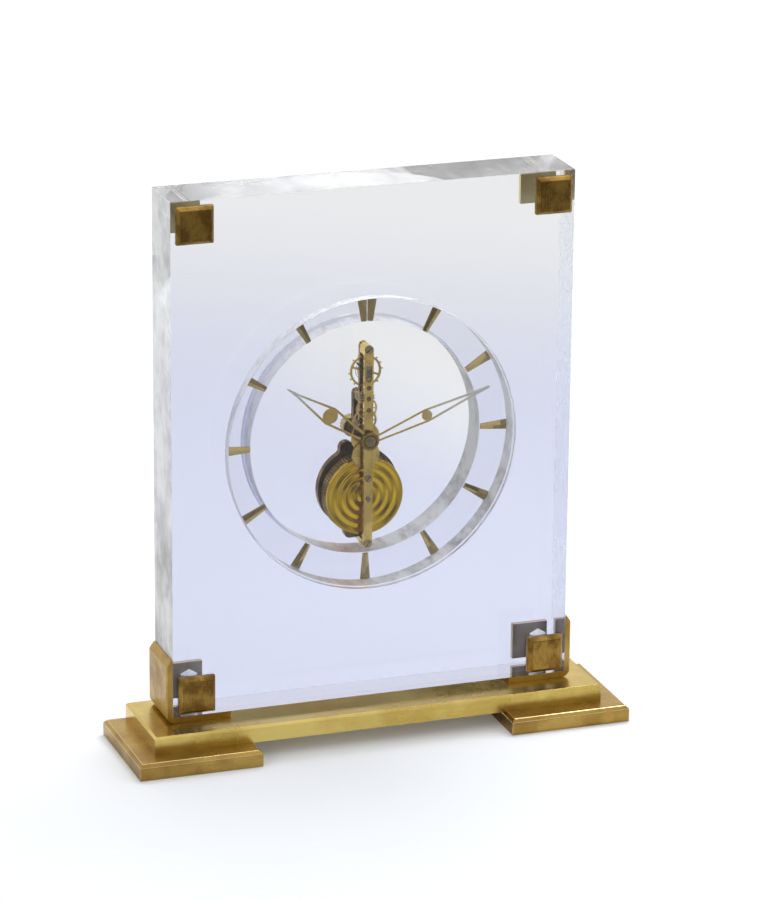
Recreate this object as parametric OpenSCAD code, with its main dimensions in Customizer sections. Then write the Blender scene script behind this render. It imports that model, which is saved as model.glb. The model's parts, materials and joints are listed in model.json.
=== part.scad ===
// Desk clock: an in-line skeleton movement set in a round recess of a clear block.
// The block stands in two angle brackets on a stepped brass base.
// X runs to the right, Y to the back and Z up. The origin is on the floor, under the middle.

/* [Clear block] */
// Width of the block
block_w = 149.7; // [140:0.1:190]
// Height of the block
block_h = 190; // [150:1:240]
// Thickness of the block, front to back
block_t = 22; // [21:0.1:30]
// Radius of the round recess in the front face
dial_r = 54.2; // [50:0.1:65]
// Depth of the recess from the front face to the shelf that carries the hour markers
shelf_depth = 9.1; // [4:0.1:9.6]
// Radius of the hole from the shelf to the back
hole_r = 43.3; // [41.2:0.1:52]

/* [Clear covers] */
// Thickness of the front disc
front_cover_t = 2; // [1:0.1:2.5]
// Thickness of the rear disc
rear_cover_t = 2; // [1.5:0.1:3]
// Ledge on which the front disc sits
front_ledge = 0.7; // [0.3:0.1:1.2]
// Ledge on which the rear disc sits
rear_ledge = 1; // [0.5:0.1:3]
// Gap round each disc
cover_gap = 0.1; // [0.05:0.05:0.3]

/* [Base] */
// How far the upper plate stands out beyond each side of the block
plinth_side = 10.15; // [5:0.05:30]
// How far the upper plate stands out in front of the block
plinth_front = 11.2; // [4:0.1:20]
// How far the upper plate stands out behind the block
plinth_back = 3.8; // [2:0.1:15]
// Thickness of the upper plate
plinth_t = 6.2; // [4:0.1:10]
// Bevel on the upper edges of the upper plate
plinth_bevel = 0.8; // [0.4:0.1:2]
// How far each foot plate stands out beyond the end of the upper plate
foot_side = 7.95; // [2:0.05:20]
// How far each foot plate stands out in front of the upper plate
foot_front = 8.55; // [2:0.05:20]
// How far each foot plate stands out behind the upper plate
foot_back = 1.9; // [0.5:0.1:15]
// Length of one foot plate along X
foot_len = 45.6; // [35:0.1:60]
// Thickness of the foot plates
foot_t = 6; // [4:0.1:12]
// Bevel on the upper edges of the foot plates
foot_bevel = 1.2; // [0.4:0.1:2]

/* [Corner brackets] */
// Thickness of the angle brackets
bracket_t = 2.4; // [2:0.1:5]
// Length of each arm of a bracket, measured from its outer corner
bracket_arm = 24; // [20:0.1:32]
// Radius of the outer corner
bracket_round = 3.4; // [1:0.1:5]
// Width of the bevel along the upright edges
bracket_edge = 0.4; // [0.1:0.1:1.9]
// Height of the bevel along the top of the side arm
bracket_bevel = 2.6; // [0.3:0.1:5]
// Width of that bevel
bracket_bevel_w = 1.8; // [0.3:0.1:1.9]

/* [Corner squares] */
// Side of the bevelled squares
square_side = 13.6; // [8:0.1:18]
// Thickness of the squares
square_t = 3.2; // [2:0.1:5]
// Width of the bevel round each square
square_bevel = 1.3; // [0.4:0.1:1.8]
// Distance from a square to the edges of the block
square_inset = 1.6; // [0.5:0.1:6]
// Radius of the peg behind each square
peg_r = 1.45; // [0.8:0.05:2.5]
// Length of each peg
peg_len = 4; // [2:0.5:9]

/* [Screws] */
// Radius of the two screws that hold the block on its base
base_screw_r = 3; // [2:0.1:4]
// Height of the drilled screw holes above the lower face of the block
base_hole_h = 13.3; // [8:0.1:20]
// Radius of the screws that hold the feet
foot_screw_r = 1.5; // [1:0.1:3]

/* [Hour markers] */
// Width of a marker at its outer end
marker_w_out = 3.7; // [2:0.1:5]
// Width of a marker at its inner end
marker_w_in = 2; // [1:0.1:3]
// Height of the ridge of a marker above its back
marker_t = 1.1; // [0.6:0.1:2]
// Height of the side walls of a marker
marker_wall = 0.5; // [0.2:0.1:0.5]
// Gap between the two markers at twelve
marker_gap = 0.35; // [0.2:0.05:2]

/* [Movement] */
// Depth of the movement, from the front of its bars to the back of its rear plate
move_depth = 14; // [11.6:0.1:14.6]
// Width of the upper bar
upper_bar_w = 3.4; // [3:0.1:4]
// Width of the lower bar
lower_bar_w = 3.3; // [3:0.1:4]
// Thickness of both front bars
bar_t = 1.5; // [1.4:0.05:1.55]
// Thickness of the balance bridge
balance_bridge_t = 1.7; // [1.2:0.1:2.2]
// Thickness of the rear plate
rear_plate_t = 2.7; // [2.4:0.1:3]
// Radius of the round lobe of the rear plate
rear_lobe_r = 15.2; // [14:0.1:18]

/* [Places on the centre line] */
// Barrel axis below the dial centre
barrel_drop = 22.2; // [21.8:0.1:23]
// Intermediate wheel below the dial centre
inter_drop = 6.4; // [6.2:0.1:6.8]
// Third wheel above the dial centre
third_rise = 6; // [5.9:0.05:6.3]
// Fourth wheel above the dial centre
fourth_rise = 11.1; // [10.9:0.05:11.4]
// Escape wheel above the dial centre
escape_rise = 15.42; // [15.3:0.01:15.6]
// Pallet fork above the dial centre
pallet_rise = 19.4; // [19.2:0.05:19.6]
// Balance above the dial centre
balance_rise = 24.7; // [24.4:0.1:25]
// Minute wheel above the dial centre
minute_wheel_rise = 3; // [2.8:0.1:3.2]
// Top screw above the dial centre
top_screw_rise = 33.5; // [33:0.1:36]
// Bottom screw below the dial centre
bottom_screw_drop = 39.1; // [39:0.1:41]
// Joint of the two front bars below the dial centre
bar_joint_drop = 12.05; // [11.8:0.05:12.4]
// Screw of that joint below the dial centre
joint_screw_drop = 14.5; // [14.2:0.1:15]

/* [Hands] */
// Length of the minute hand
minute_len = 47.8; // [38:0.1:50]
// Length of the hour hand
hour_len = 38.2; // [28:0.1:40]
// Angle of the minute hand at rest, clockwise from twelve
minute_angle = 70; // [0:1:359]
// Thickness of the hands
hand_t = 0.25; // [0.2:0.05:0.4]

/* [Winding and setting] */
// How far the winding key stands out behind the block
key_reach = 12.35; // [11:0.05:20]
// Radius of one wing of the key
key_wing_r = 4.2; // [3:0.1:5]
// Radius of the setting knob
knob_r = 4; // [2.5:0.1:6]

/* [Hidden] */
$fn = 96;

// Finishes
brass = [0.80, 0.62, 0.25];
dark_brass = [0.66, 0.47, 0.20];
pale_brass = [0.87, 0.73, 0.38];
steel = [0.62, 0.63, 0.66];
ruby = [0.55, 0.06, 0.10];
clear = [0.84, 0.86, 0.93, 0.35];

// Places of the large pieces
depth_all = foot_front + plinth_front + block_t + key_reach;
block_y = foot_front + plinth_front - depth_all / 2;
block_back = block_y + block_t;
plinth_z = foot_t;
bracket_z = plinth_z + plinth_t;
block_z = bracket_z + bracket_t;
dial_z = block_z + block_h / 2;
plinth_half = block_w / 2 + plinth_side;
foot_half = plinth_half + foot_side;
shelf_y = block_y + shelf_depth;
shelf_r = dial_r - front_ledge;
cover_back = block_back - rear_cover_t;
square_x = block_w / 2 - square_inset - square_side / 2;
square_low = block_z + square_inset + square_side / 2;
square_high = block_z + block_h - square_inset - square_side / 2;
peg_gap = 0.05;
base_screw_x = square_x + 0.4;
base_screw_y = block_y + block_t / 2;
bracket_inset = 0.2;

// Levels of the movement along Y
plate_y = cover_back - rear_plate_t;
bar_y = cover_back - move_depth;
bar_back = bar_y + bar_t;
bridge_y = bar_y + 5.2;
bridge_back = bridge_y + balance_bridge_t;
end_shake = 0.15;
hour_wheel_y = bar_back + end_shake;
hour_wheel_t = 0.35;
minute_wheel_y = hour_wheel_y + hour_wheel_t + 0.25;
minute_wheel_t = 0.35;
inter_wheel_y = minute_wheel_y + minute_wheel_t + 0.25;
train_t = 0.4;
centre_wheel_y = inter_wheel_y + train_t + 0.3;
third_wheel_y = centre_wheel_y + train_t + 0.3;
escape_y = bar_back + 0.2;
escape_t = 0.3;
fourth_wheel_y = escape_y + escape_t + 0.25;
fourth_t = 0.3;
escape_bridge_y = fourth_wheel_y + fourth_t + 0.15;
escape_bridge_t = 0.6;
leaf_over = 0.05;

// Levels of the hands along Y
hour_hand_y = bar_y - 1.25;
minute_hand_y = bar_y - 2.05;
nut_y = minute_hand_y - 0.6;
arbor_back = block_back + 3;

// Pivots and bores
pivot_r = 0.12;
pivot_hole_r = 0.17;
jewel_r = 0.85;
jewel_t = 0.75;
small_jewel_r = 0.6;
small_jewel_t = 0.6;
arbor_r = 0.25;
arbor_hole_r = 0.35;
centre_r = 0.4;
running = 0.05;
cannon_r = 0.7;
hour_pipe_r = 1.05;
screw_head_r = 1.5;
screw_head_t = 0.3;
screw_r = 0.6;
slot_w = 0.35;
slot_depth = 0.2;

// Barrel and its works
cover_step = 1.7;
cover_flange_r = 14.4;
cover_plug = 0.4;
barrel_y = bridge_y;
drum_step = 1.7;
barrel_back = plate_y - 0.4;
rim_len = barrel_back - drum_step - barrel_y;
barrel_wall = 1.5;
barrel_floor_t = 0.9;
barrel_cover_r = 13.65;
barrel_bore_r = 1.6;
spring_hub_r = 3.4;
ratchet_r = 5.5;
ratchet_n = 24;
recess_r = 9.5;
recess_depth = 0.95;
ratchet_t = 0.6;
ratchet_y = plate_y + 0.15;
click_reach = 7.6;
click_turn = 60;
click_y = plate_y + 0.25;
click_t = 0.55;
click_hub_r = 0.95;
CLICK_FINGER = [[0.85, 0.25], [2.7, -1.7], [2.4, -2.45], [1, -1.3], [-0.3, -0.9], [-0.6, 0]];
key_square = 2.2;
key_hub_r = 2.4;

// Teeth: height and half width in modules and shares of the pitch
WHEEL_TOOTH = [[-1.25, -0.34], [0.9, -0.12], [0.9, 0.12], [-1.25, 0.34]];
PINION_LEAF = [[-1.35, -0.15], [0, -0.2], [0.7, -0.07], [0.7, 0.07], [0, 0.2], [-1.35, 0.15]];
ESCAPE_TOOTH = [[-1.45, -0.1], [0, 0.32], [0, 0.38], [-1.45, 0.3]];
RATCHET_TOOTH = [[-1.2, 0.18], [0, 0.2], [-1.2, 1]];

// Tooth counts and the modules that follow from the distances between the axes
barrel_n = 84;
inter_leaves = 8;
inter_n = 56;
centre_leaves = 14;
centre_n = 64;
third_leaves = 8;
third_n = 60;
fourth_leaves = 8;
fourth_n = 60;
escape_leaves = 6;
escape_n = 15;
cannon_leaves = 12;
minute_n = 36;
minute_leaves = 10;
hour_n = 40;
function mod_for(distance, a, b) = 2 * distance / (a + b);
barrel_m = mod_for(barrel_drop - inter_drop, barrel_n, inter_leaves);
inter_m = mod_for(inter_drop, inter_n, centre_leaves);
centre_m = mod_for(third_rise, centre_n, third_leaves);
third_m = mod_for(fourth_rise - third_rise, third_n, fourth_leaves);
fourth_m = mod_for(escape_rise - fourth_rise, fourth_n, escape_leaves);
minute_m = mod_for(minute_wheel_rise, cannon_leaves, minute_n);
hour_m = mod_for(minute_wheel_rise, minute_leaves, hour_n);
escape_r = 3.1;
hour_angle = 300 + minute_angle / 12;

// Balance and its spring
balance_y = bar_y + 3.65;
balance_t = 0.6;
balance_rim_r = 5.85;
balance_rim_w = 0.8;
rim_screw_h = 0.65;
balance_arm_angle = 109;
rim_screw_angles = [24, 45, 66, 114, 135, 156, 204, 225, 246, 294, 315, 336];
spring_y = bridge_y - 0.65;
spring_tube_r = 0.12;
spring_in_r = 1.25;
spring_out_r = 3.7;
spring_curls = 3.5;
rings_a_curl = 8;
tube_sides = 6;
roller_y = escape_y + escape_t + 0.35;
roller_t = 0.3;
roller_r = 0.85;

// Screws of the base
base_head_t = 2;
foot_grip = 3.5;
foot_head_t = 1.6;

// Hour markers
marker_margin = 0.2;
marker_r0 = hole_r + marker_margin;
marker_r1 = shelf_r - marker_margin;
marker_taper = atan((marker_w_out - marker_w_in) / 2 / (marker_r1 - marker_r0));
marker_off = (marker_w_out + marker_gap) / 2;

// Ears of the rear plate, and the joint of the two front bars
ear_x = 4.25;
ear_drop = 6.3;
ear_r = 2.7;
tongue_len = 4.5;
joint_gap = 0.05;
arbor_front_r = 0.8;

// Cap of the balance, its screws and the slotted boss above it
cap_floor = bar_y + 0.75;
cap_half_w = 0.95;
cap_len = 6.3;
cap_t = 0.5;
cap_screw_off = 2.1;
cap_screw_r = 0.25;
cap_screw_grip = 0.45;
boss_rise = 29.3;
boss_grip = 0.9;
boss_r = 1.75;
boss_t = 0.35;

// Pillars and the balance bridge
pillar_h = 3;
pillar_thread = 3;
bridge_low = 3;
pillar_w = 3.2;

// Rear plate: neck, foot, screws and the blends between its lobes
neck_top = 15.65;
mount_grip = 1.4;
click_post_r = 0.5;
inter_pivot_r = 0.3;
blend_r = 2;
blend_bite = 0.06;
lobe_rise = 0.9;
foot_x = 2.9;
foot_r = 2.1;
lobe_z = lobe_rise - barrel_drop;
ear_dist = norm([ear_x, -ear_drop - lobe_z]);
blend_along = (pow(rear_lobe_r + blend_r, 2) - pow(ear_r + blend_r, 2) + pow(ear_dist, 2)) / (2 * ear_dist);
blend_off = sqrt(pow(rear_lobe_r + blend_r, 2) - pow(blend_along, 2));
blend_x = (ear_x * blend_along + (-ear_drop - lobe_z) * blend_off) / ear_dist;
blend_z = lobe_z + ((-ear_drop - lobe_z) * blend_along - ear_x * blend_off) / ear_dist;

// Bridge of the escapement and what it carries
escape_bridge_w = 3;
escape_foot_h = 4.4;
escape_core_r = 0.2;
stone_x = 1.75;
stone_drop = 1.1;
fork_end = balance_rise - pallet_rise - 0.8;

// Path of the hairspring and the curb pins on it
spring_rings = ceil(spring_curls * rings_a_curl);
spring_end = 2 * spring_tube_r;
spring_path = concat(
    [spring_point(0) + [spring_end, 0, 0]],
    [for (i = [0 : spring_rings]) spring_point(i / spring_rings)],
    [spring_point(1) + [spring_end, 0, 0]]);
spring_gap = min([for (i = [0 : len(spring_path) - 1], j = [0 : len(spring_path) - 1])
    if (j - i > rings_a_curl / 2) norm(spring_path[j] - spring_path[i]) - 2 * spring_tube_r]);
regulator_angle = -45;
regulator_share = 1 + regulator_angle / (360 * spring_curls);
regulator_coil_r = spring_in_r + (spring_out_r - spring_in_r) * regulator_share;

// Barrel cover's seat and the winding key
cover_seat = barrel_y + cover_plug;
wing_y = block_back + key_reach - 2 * key_wing_r;
key_wing_t = 1.6;
key_wing_off = 3.4;

// Hub of the hands
hub_half = 1.1;

// A flat outline in X and Z made solid between two places along Y
module slab(y0, y1) {
    translate([0, y1, 0]) rotate([90, 0, 0]) linear_extrude(y1 - y0) children();
}

// A round bar along Y
module rod(y0, y1, r) {
    slab(y0, y1) circle(r);
}

// Moves a piece of the movement to its height above the dial centre
module rise(h) {
    translate([0, 0, dial_z + h]) children();
}

// An upright bar outline with square or round ends
module bar_outline(w, z0, z1, round_low = false, round_high = false) {
    low = round_low ? z0 + w / 2 : z0;
    high = round_high ? z1 - w / 2 : z1;
    translate([-w / 2, low]) square([w, high - low]);
    if (round_low) translate([0, low]) circle(w / 2);
    if (round_high) translate([0, high]) circle(w / 2);
}

// The outline of a ring of teeth, the first tooth upright unless turned
module toothed(n, m, tooth, turn = 0) {
    polygon([for (i = [0 : n - 1], q = tooth)
        let (a = 360 * (i + q[1]) / n + turn, r = n * m / 2 + q[0] * m) [r * sin(a), r * cos(a)]]);
}

// A spoked wheel outline
module crossed_wheel(n, m, rim, spokes, spoke_w, hub_r) {
    inner = n * m / 2 - 1.25 * m - rim;
    difference() {
        toothed(n, m, WHEEL_TOOTH);
        circle(inner);
    }
    circle(hub_r);
    for (i = [0 : spokes - 1])
        rotate(360 / spokes * i) translate([-spoke_w / 2, 0]) square([spoke_w, inner + rim / 2]);
}

// A plate with its four upper edges bevelled, resting at z0
module bevelled_plate(x0, x1, y0, y1, z0, t, bevel) {
    intersection() {
        translate([0, y1, 0]) rotate([90, 0, 0]) linear_extrude(y1 - y0) polygon([
            [x0, z0], [x1, z0], [x1, z0 + t - bevel], [x1 - bevel, z0 + t],
            [x0 + bevel, z0 + t], [x0, z0 + t - bevel]]);
        translate([x0, 0, 0]) rotate([90, 0, 90]) linear_extrude(x1 - x0) polygon([
            [y0, z0], [y1, z0], [y1, z0 + t - bevel], [y1 - bevel, z0 + t],
            [y0 + bevel, z0 + t], [y0, z0 + t - bevel]]);
    }
}

// The clear block with its stepped round hole, peg bores and screw holes
module clear_block() color(clear) {
    difference() {
        translate([-block_w / 2, block_y, block_z]) cube([block_w, block_t, block_h]);
        rise(0) rod(block_y - 1, block_y + front_cover_t, dial_r);
        rise(0) rod(block_y, shelf_y, shelf_r);
        rise(0) rod(shelf_y - 1, block_back + 1, hole_r);
        rise(0) rod(cover_back, block_back + 1, hole_r + rear_ledge);
        for (x = [-square_x, square_x], z = [square_low, square_high])
            translate([x, 0, z]) rod(block_y - 1, block_back + 1, peg_r + peg_gap);
        for (side = [-1, 1]) translate([side * base_screw_x, base_screw_y, block_z - 1]) base_hole();
    }
}

// A drilled hole with a pointed end
module base_hole() {
    r = base_screw_r + peg_gap;
    cylinder(h = base_hole_h + 1, r = r);
    translate([0, 0, base_hole_h + 1]) cylinder(h = r * tan(31), r1 = r, r2 = 0.05);
}

module front_cover() color(clear) {
    rise(0) rod(block_y, block_y + front_cover_t, dial_r - cover_gap);
}

// The rear disc carries the movement and lets the arbor and the setting stem through
module rear_cover() color(clear) {
    rise(0) difference() {
        rod(cover_back, block_back, hole_r + rear_ledge - cover_gap);
        translate([0, 0, -barrel_drop]) rod(cover_back - 1, block_back + 1, barrel_bore_r + 0.4);
        rod(cover_back - 1, block_back + 1, centre_r + 0.5);
        mounting_places() rod(cover_back - 1, block_back + 1, screw_r + peg_gap);
    }
}

module plinth_plate() color(brass) {
    difference() {
        bevelled_plate(-plinth_half, plinth_half, block_y - plinth_front, block_back + plinth_back,
            plinth_z, plinth_t, plinth_bevel);
        for (side = [-1, 1]) translate([side * base_screw_x, base_screw_y, plinth_z - 1]) {
            cylinder(h = plinth_t + 2, r = base_screw_r + peg_gap);
            cylinder(h = base_head_t + 1.2, r = base_screw_r + 1.2);
        }
        foot_screw_places() translate([0, 0, plinth_z - 1]) cylinder(h = foot_grip + 1, r = foot_screw_r);
    }
}

// Two screws in each foot, front and back
module foot_screw_places() {
    for (side = [-1, 1], y = [block_y - plinth_front + 6, block_back + plinth_back - 6])
        translate([side * (foot_half - foot_len / 2), y, 0]) children();
}

module foot(side) {
    x0 = side < 0 ? -foot_half : foot_half - foot_len;
    difference() {
        bevelled_plate(x0, x0 + foot_len, block_y - plinth_front - foot_front,
            block_back + plinth_back + foot_back, 0, foot_t, foot_bevel);
        foot_screw_places() translate([0, 0, -1]) {
            cylinder(h = foot_t + 2, r = foot_screw_r + peg_gap);
            cylinder(h = foot_head_t + 1.6, r = foot_screw_r * 2);
        }
    }
}
module left_foot() color(dark_brass) foot(-1);
module right_foot() color(dark_brass) foot(1);

module foot_screws() color(steel) {
    foot_screw_places() {
        translate([0, 0, 0.5]) cylinder(h = foot_head_t, r = foot_screw_r * 2 - 0.1);
        translate([0, 0, 0.5]) cylinder(h = foot_t + foot_grip - 0.6, r = foot_screw_r);
    }
}

module base_screws() color(steel) {
    for (side = [-1, 1]) translate([side * base_screw_x, base_screw_y, plinth_z + 0.1]) {
        cylinder(h = base_head_t, r = base_screw_r + 1.1);
        cylinder(h = plinth_t + bracket_t + base_hole_h * 0.75, r = base_screw_r);
    }
}

// One angle bracket: a side arm and an arm under the block, with a round outer corner
module bracket() color(dark_brass) {
    x0 = block_w / 2 + bracket_t;
    y0 = block_y + bracket_inset;
    y1 = block_back - bracket_inset;
    difference() {
        slab(y0, y1) bracket_outline(x0);
        for (end = [[y0, -bracket_edge], [y1, bracket_edge]]) translate([x0, end[0], bracket_z - 1])
            linear_extrude(bracket_arm + 2) polygon([
                [-2 * bracket_edge, end[1]], [bracket_edge, -2 * end[1]], [bracket_edge, end[1]]]);
        slab(y0 - 1, y1 + 1) translate([x0, bracket_z + bracket_arm]) polygon([
            [-2 * bracket_bevel_w, bracket_bevel], [bracket_bevel_w, -2 * bracket_bevel],
            [bracket_bevel_w, bracket_bevel]]);
        translate([base_screw_x, base_screw_y, bracket_z - 1])
            cylinder(h = bracket_t + 2, r = base_screw_r + peg_gap);
    }
}
module bracket_outline(x0) {
    difference() {
        union() {
            translate([x0 - bracket_arm, bracket_z]) square([bracket_arm - bracket_round, bracket_t]);
            translate([x0 - bracket_t, bracket_z + bracket_round])
                square([bracket_t, bracket_arm - bracket_round]);
            translate([x0 - bracket_round, bracket_z + bracket_round]) circle(bracket_round);
        }
        translate([x0 - bracket_t - bracket_arm, bracket_z + bracket_t]) square(bracket_arm);
    }
}
module right_bracket() bracket();
module left_bracket() mirror([1, 0, 0]) bracket();

// A bevelled square with its back at y = 0 and its face to the front
module corner_square() {
    h = square_side / 2;
    b = square_bevel;
    intersection() {
        translate([0, 0, -h]) linear_extrude(square_side) polygon([
            [-h, 0], [h, 0], [h, b - square_t], [h - b, -square_t], [b - h, -square_t], [-h, b - square_t]]);
        translate([-h, 0, 0]) rotate([90, 0, 90]) linear_extrude(square_side) polygon([
            [0, -h], [0, h], [b - square_t, h], [-square_t, h - b], [-square_t, b - h], [b - square_t, -h]]);
    }
    rod(0, peg_len, peg_r);
}
module front_square(x, z) color(dark_brass) translate([x, block_y, z]) corner_square();
module top_left_square() front_square(-square_x, square_high);
module top_right_square() front_square(square_x, square_high);
module bottom_left_square() front_square(-square_x, square_low);
module bottom_right_square() front_square(square_x, square_low);
module rear_squares() color(brass) {
    for (x = [-square_x, square_x], z = [square_low, square_high])
        translate([x, block_back, z]) mirror([0, 1, 0]) corner_square();
}

// One marker lies on the shelf, wide end outwards, with a ridge along the middle
module marker() {
    half = marker_w_out / 2;
    intersection() {
        translate([0, shelf_y, 0]) rotate([90, 0, 0]) linear_extrude(marker_t) polygon([
            [-marker_w_in / 2, marker_r0], [marker_w_in / 2, marker_r0],
            [half, marker_r1], [-half, marker_r1]]);
        translate([0, shelf_y, marker_r0]) linear_extrude(marker_r1 - marker_r0) polygon([
            [-half, 0], [half, 0], [half, -marker_wall], [0, -marker_t], [-half, -marker_wall]]);
    }
}
module hour_markers() color(pale_brass) {
    rise(0) {
        for (hour = [1 : 11]) rotate([0, 30 * hour, 0]) marker();
        // the pair at twelve leans outwards, so that its inner sides are parallel
        for (side = [-1, 1]) translate([side * marker_off, 0, marker_r1]) rotate([0, side * marker_taper, 0])
            translate([0, 0, -marker_r1]) marker();
    }
}

// Places of the three screws that hold the rear plate to the rear disc
module mounting_places() {
    for (x = [-ear_x, ear_x]) translate([x, 0, -ear_drop]) children();
    translate([0, 0, -bottom_screw_drop]) children();
}

// Upper front bar, with jewel seats, a slot for the balance cap and a thin tongue below
module train_bridge() color(pale_brass) {
    top = top_screw_rise + upper_bar_w / 2;
    jewel_back = bar_y + 0.1 + jewel_t;
    rise(0) difference() {
        union() {
            slab(bar_y, bar_back) bar_outline(upper_bar_w, -bar_joint_drop, top, round_high = true);
            slab(bar_y + bar_t / 2, bar_back)
                bar_outline(lower_bar_w, -bar_joint_drop - tongue_len, -bar_joint_drop + 1);
        }
        for (h = [fourth_rise, escape_rise, pallet_rise]) translate([0, 0, h]) {
            rod(bar_y - 1, jewel_back, jewel_r);
            rod(bar_y - 1, bar_back + 1, arbor_hole_r);
        }
        for (h = [third_rise, -inter_drop]) translate([0, 0, h])
            rod(bar_y + bar_t / 2, bar_back + 1, pivot_hole_r);
        translate([0, 0, minute_wheel_rise]) rod(bar_y + bar_t / 2, bar_back + 1, arbor_r);
        rod(bar_y - 1, bar_back + 1, hour_pipe_r + running);
        slab(bar_y - 1, cap_floor) translate([0, balance_rise]) cap_outline(cap_half_w + 0.05);
        translate([0, 0, balance_rise]) rod(bar_y, bar_back + 1, pivot_hole_r);
        for (s = [-1, 1]) translate([0, 0, balance_rise + s * cap_screw_off])
            rod(bar_y, cap_floor + cap_screw_grip, cap_screw_r);
        translate([0, 0, top_screw_rise]) rod(bar_y - 1, bar_back + 1, screw_r + peg_gap);
        translate([0, 0, boss_rise]) rod(bar_y - 1, bar_y + boss_grip, screw_r);
        translate([0, 0, -joint_screw_drop]) rod(bar_y - 1, bar_back + 1, screw_r);
    }
}
module cap_outline(half_w) {
    straight = cap_len - 2 * cap_half_w;
    translate([-half_w, -straight / 2]) square([2 * half_w, straight]);
    for (s = [-1, 1]) translate([0, s * straight / 2]) circle(half_w);
}

// Lower front bar, halved over the tongue of the upper one
module barrel_bridge() color(pale_brass) {
    low = -bottom_screw_drop - lower_bar_w / 2;
    rise(0) difference() {
        slab(bar_y, bar_back) bar_outline(lower_bar_w, low, -bar_joint_drop - joint_gap, round_low = true);
        slab(bar_y + bar_t / 2 - 0.01, bar_back + 1)
            bar_outline(lower_bar_w + 1, -bar_joint_drop - tongue_len - joint_gap, 0);
        translate([0, 0, -joint_screw_drop]) rod(bar_y - 1, bar_back + 1, screw_r + peg_gap);
        translate([0, 0, -bottom_screw_drop]) rod(bar_y - 1, bar_back + 1, screw_r + peg_gap);
        translate([0, 0, -barrel_drop]) {
            rod(bar_y - 1, bar_back + 1, arbor_front_r + running);
            rod(bar_y - 1, bar_y + 0.4, arbor_front_r + 0.5);
        }
    }
}

// Block between the upper bar and the balance bridge
module top_spacer() color(pale_brass) {
    rise(0) difference() {
        slab(bar_back, bridge_y)
            bar_outline(upper_bar_w, balance_rise + balance_rim_r + rim_screw_h + 0.3,
                top_screw_rise + upper_bar_w / 2, round_high = true);
        translate([0, 0, top_screw_rise]) rod(bar_back - 1, bridge_y + 1, screw_r + peg_gap);
    }
}

// Pillar between the lower bar and the rear plate
module bottom_pillar() color(pale_brass) {
    low = -bottom_screw_drop - lower_bar_w / 2;
    rise(0) difference() {
        slab(bar_back, plate_y) bar_outline(lower_bar_w, low, low + pillar_h, round_low = true);
        translate([0, 0, -bottom_screw_drop]) rod(bar_back - 1, bar_back + pillar_thread, screw_r);
    }
}

// Inner bar that holds the back pivots of the balance and the upper train
module balance_bridge() color(dark_brass) {
    rise(0) difference() {
        slab(bridge_y, bridge_back) bar_outline(upper_bar_w, -bridge_low, top_screw_rise + upper_bar_w / 2,
            round_low = true, round_high = true);
        rod(bridge_y - 1, bridge_back + 1, centre_r + running);
        for (h = [third_rise, fourth_rise, balance_rise]) translate([0, 0, h])
            rod(bridge_y - 1, bridge_y + small_jewel_t + 0.05, small_jewel_r);
        translate([0, 0, top_screw_rise]) rod(bridge_y - 1, bridge_y + pillar_thread / 2, screw_r);
    }
}

// Two blocks between the balance bridge and the neck of the rear plate
module middle_pillars() color(dark_brass) {
    for (z = [2.4, fourth_rise + 1.2])
        rise(0) slab(bridge_back, plate_y) translate([-pillar_w / 2, z]) square([pillar_w, pillar_h]);
}

// Rear plate: a round lobe behind the barrel, two ears, a neck and a foot
module rear_plate() color(dark_brass) {
    rise(0) difference() {
        slab(plate_y, cover_back) rear_plate_outline();
        translate([0, 0, -barrel_drop]) {
            rod(plate_y - 1, plate_y + recess_depth, recess_r);
            rod(plate_y - 1, cover_back + 1, barrel_bore_r + running);
            click_place() rod(plate_y - 1, plate_y + recess_depth + 0.8, click_post_r);
        }
        translate([0, 0, -inter_drop]) rod(plate_y - 1, plate_y + 1.5, inter_pivot_r + running);
        rod(plate_y - 1, cover_back + 1, centre_r + running);
        mounting_places() rod(cover_back - mount_grip, cover_back + 1, screw_r);
    }
}
module rear_plate_outline() {
    difference() {
        union() {
            translate([0, lobe_z]) circle(rear_lobe_r);
            bar_outline(upper_bar_w + 0.2, -barrel_drop, neck_top, round_high = true);
            for (side = [-1, 1]) {
                translate([side * ear_x, -ear_drop]) circle(ear_r);
                translate([side * foot_x, -bottom_screw_drop + 0.9]) circle(foot_r);
            }
            polygon([[-ear_x, -ear_drop], [-blend_x, blend_z], [0, lobe_z],
                [blend_x, blend_z], [ear_x, -ear_drop]]);
            translate([-foot_x, -bottom_screw_drop + 0.9 - foot_r]) square([2 * foot_x, 5]);
        }
        for (side = [-1, 1]) translate([side * blend_x, blend_z]) circle(blend_r + blend_bite);
    }
}

// Raised bridge for the back pivots of the escape wheel and the pallet fork
module escapement_bridge() color(brass) {
    foot_low = fourth_rise + 1.7;
    rise(0) difference() {
        union() {
            slab(escape_bridge_y, escape_bridge_y + escape_bridge_t)
                bar_outline(escape_bridge_w, foot_low, pallet_rise + 1.5, round_high = true);
            slab(escape_bridge_y + escape_bridge_t, bridge_y)
                translate([-escape_bridge_w / 2, foot_low]) square([escape_bridge_w, escape_foot_h]);
        }
        for (h = [escape_rise, pallet_rise]) translate([0, 0, h]) {
            rod(escape_bridge_y - 1, escape_bridge_y + escape_bridge_t, small_jewel_r);
        }
    }
}

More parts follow.
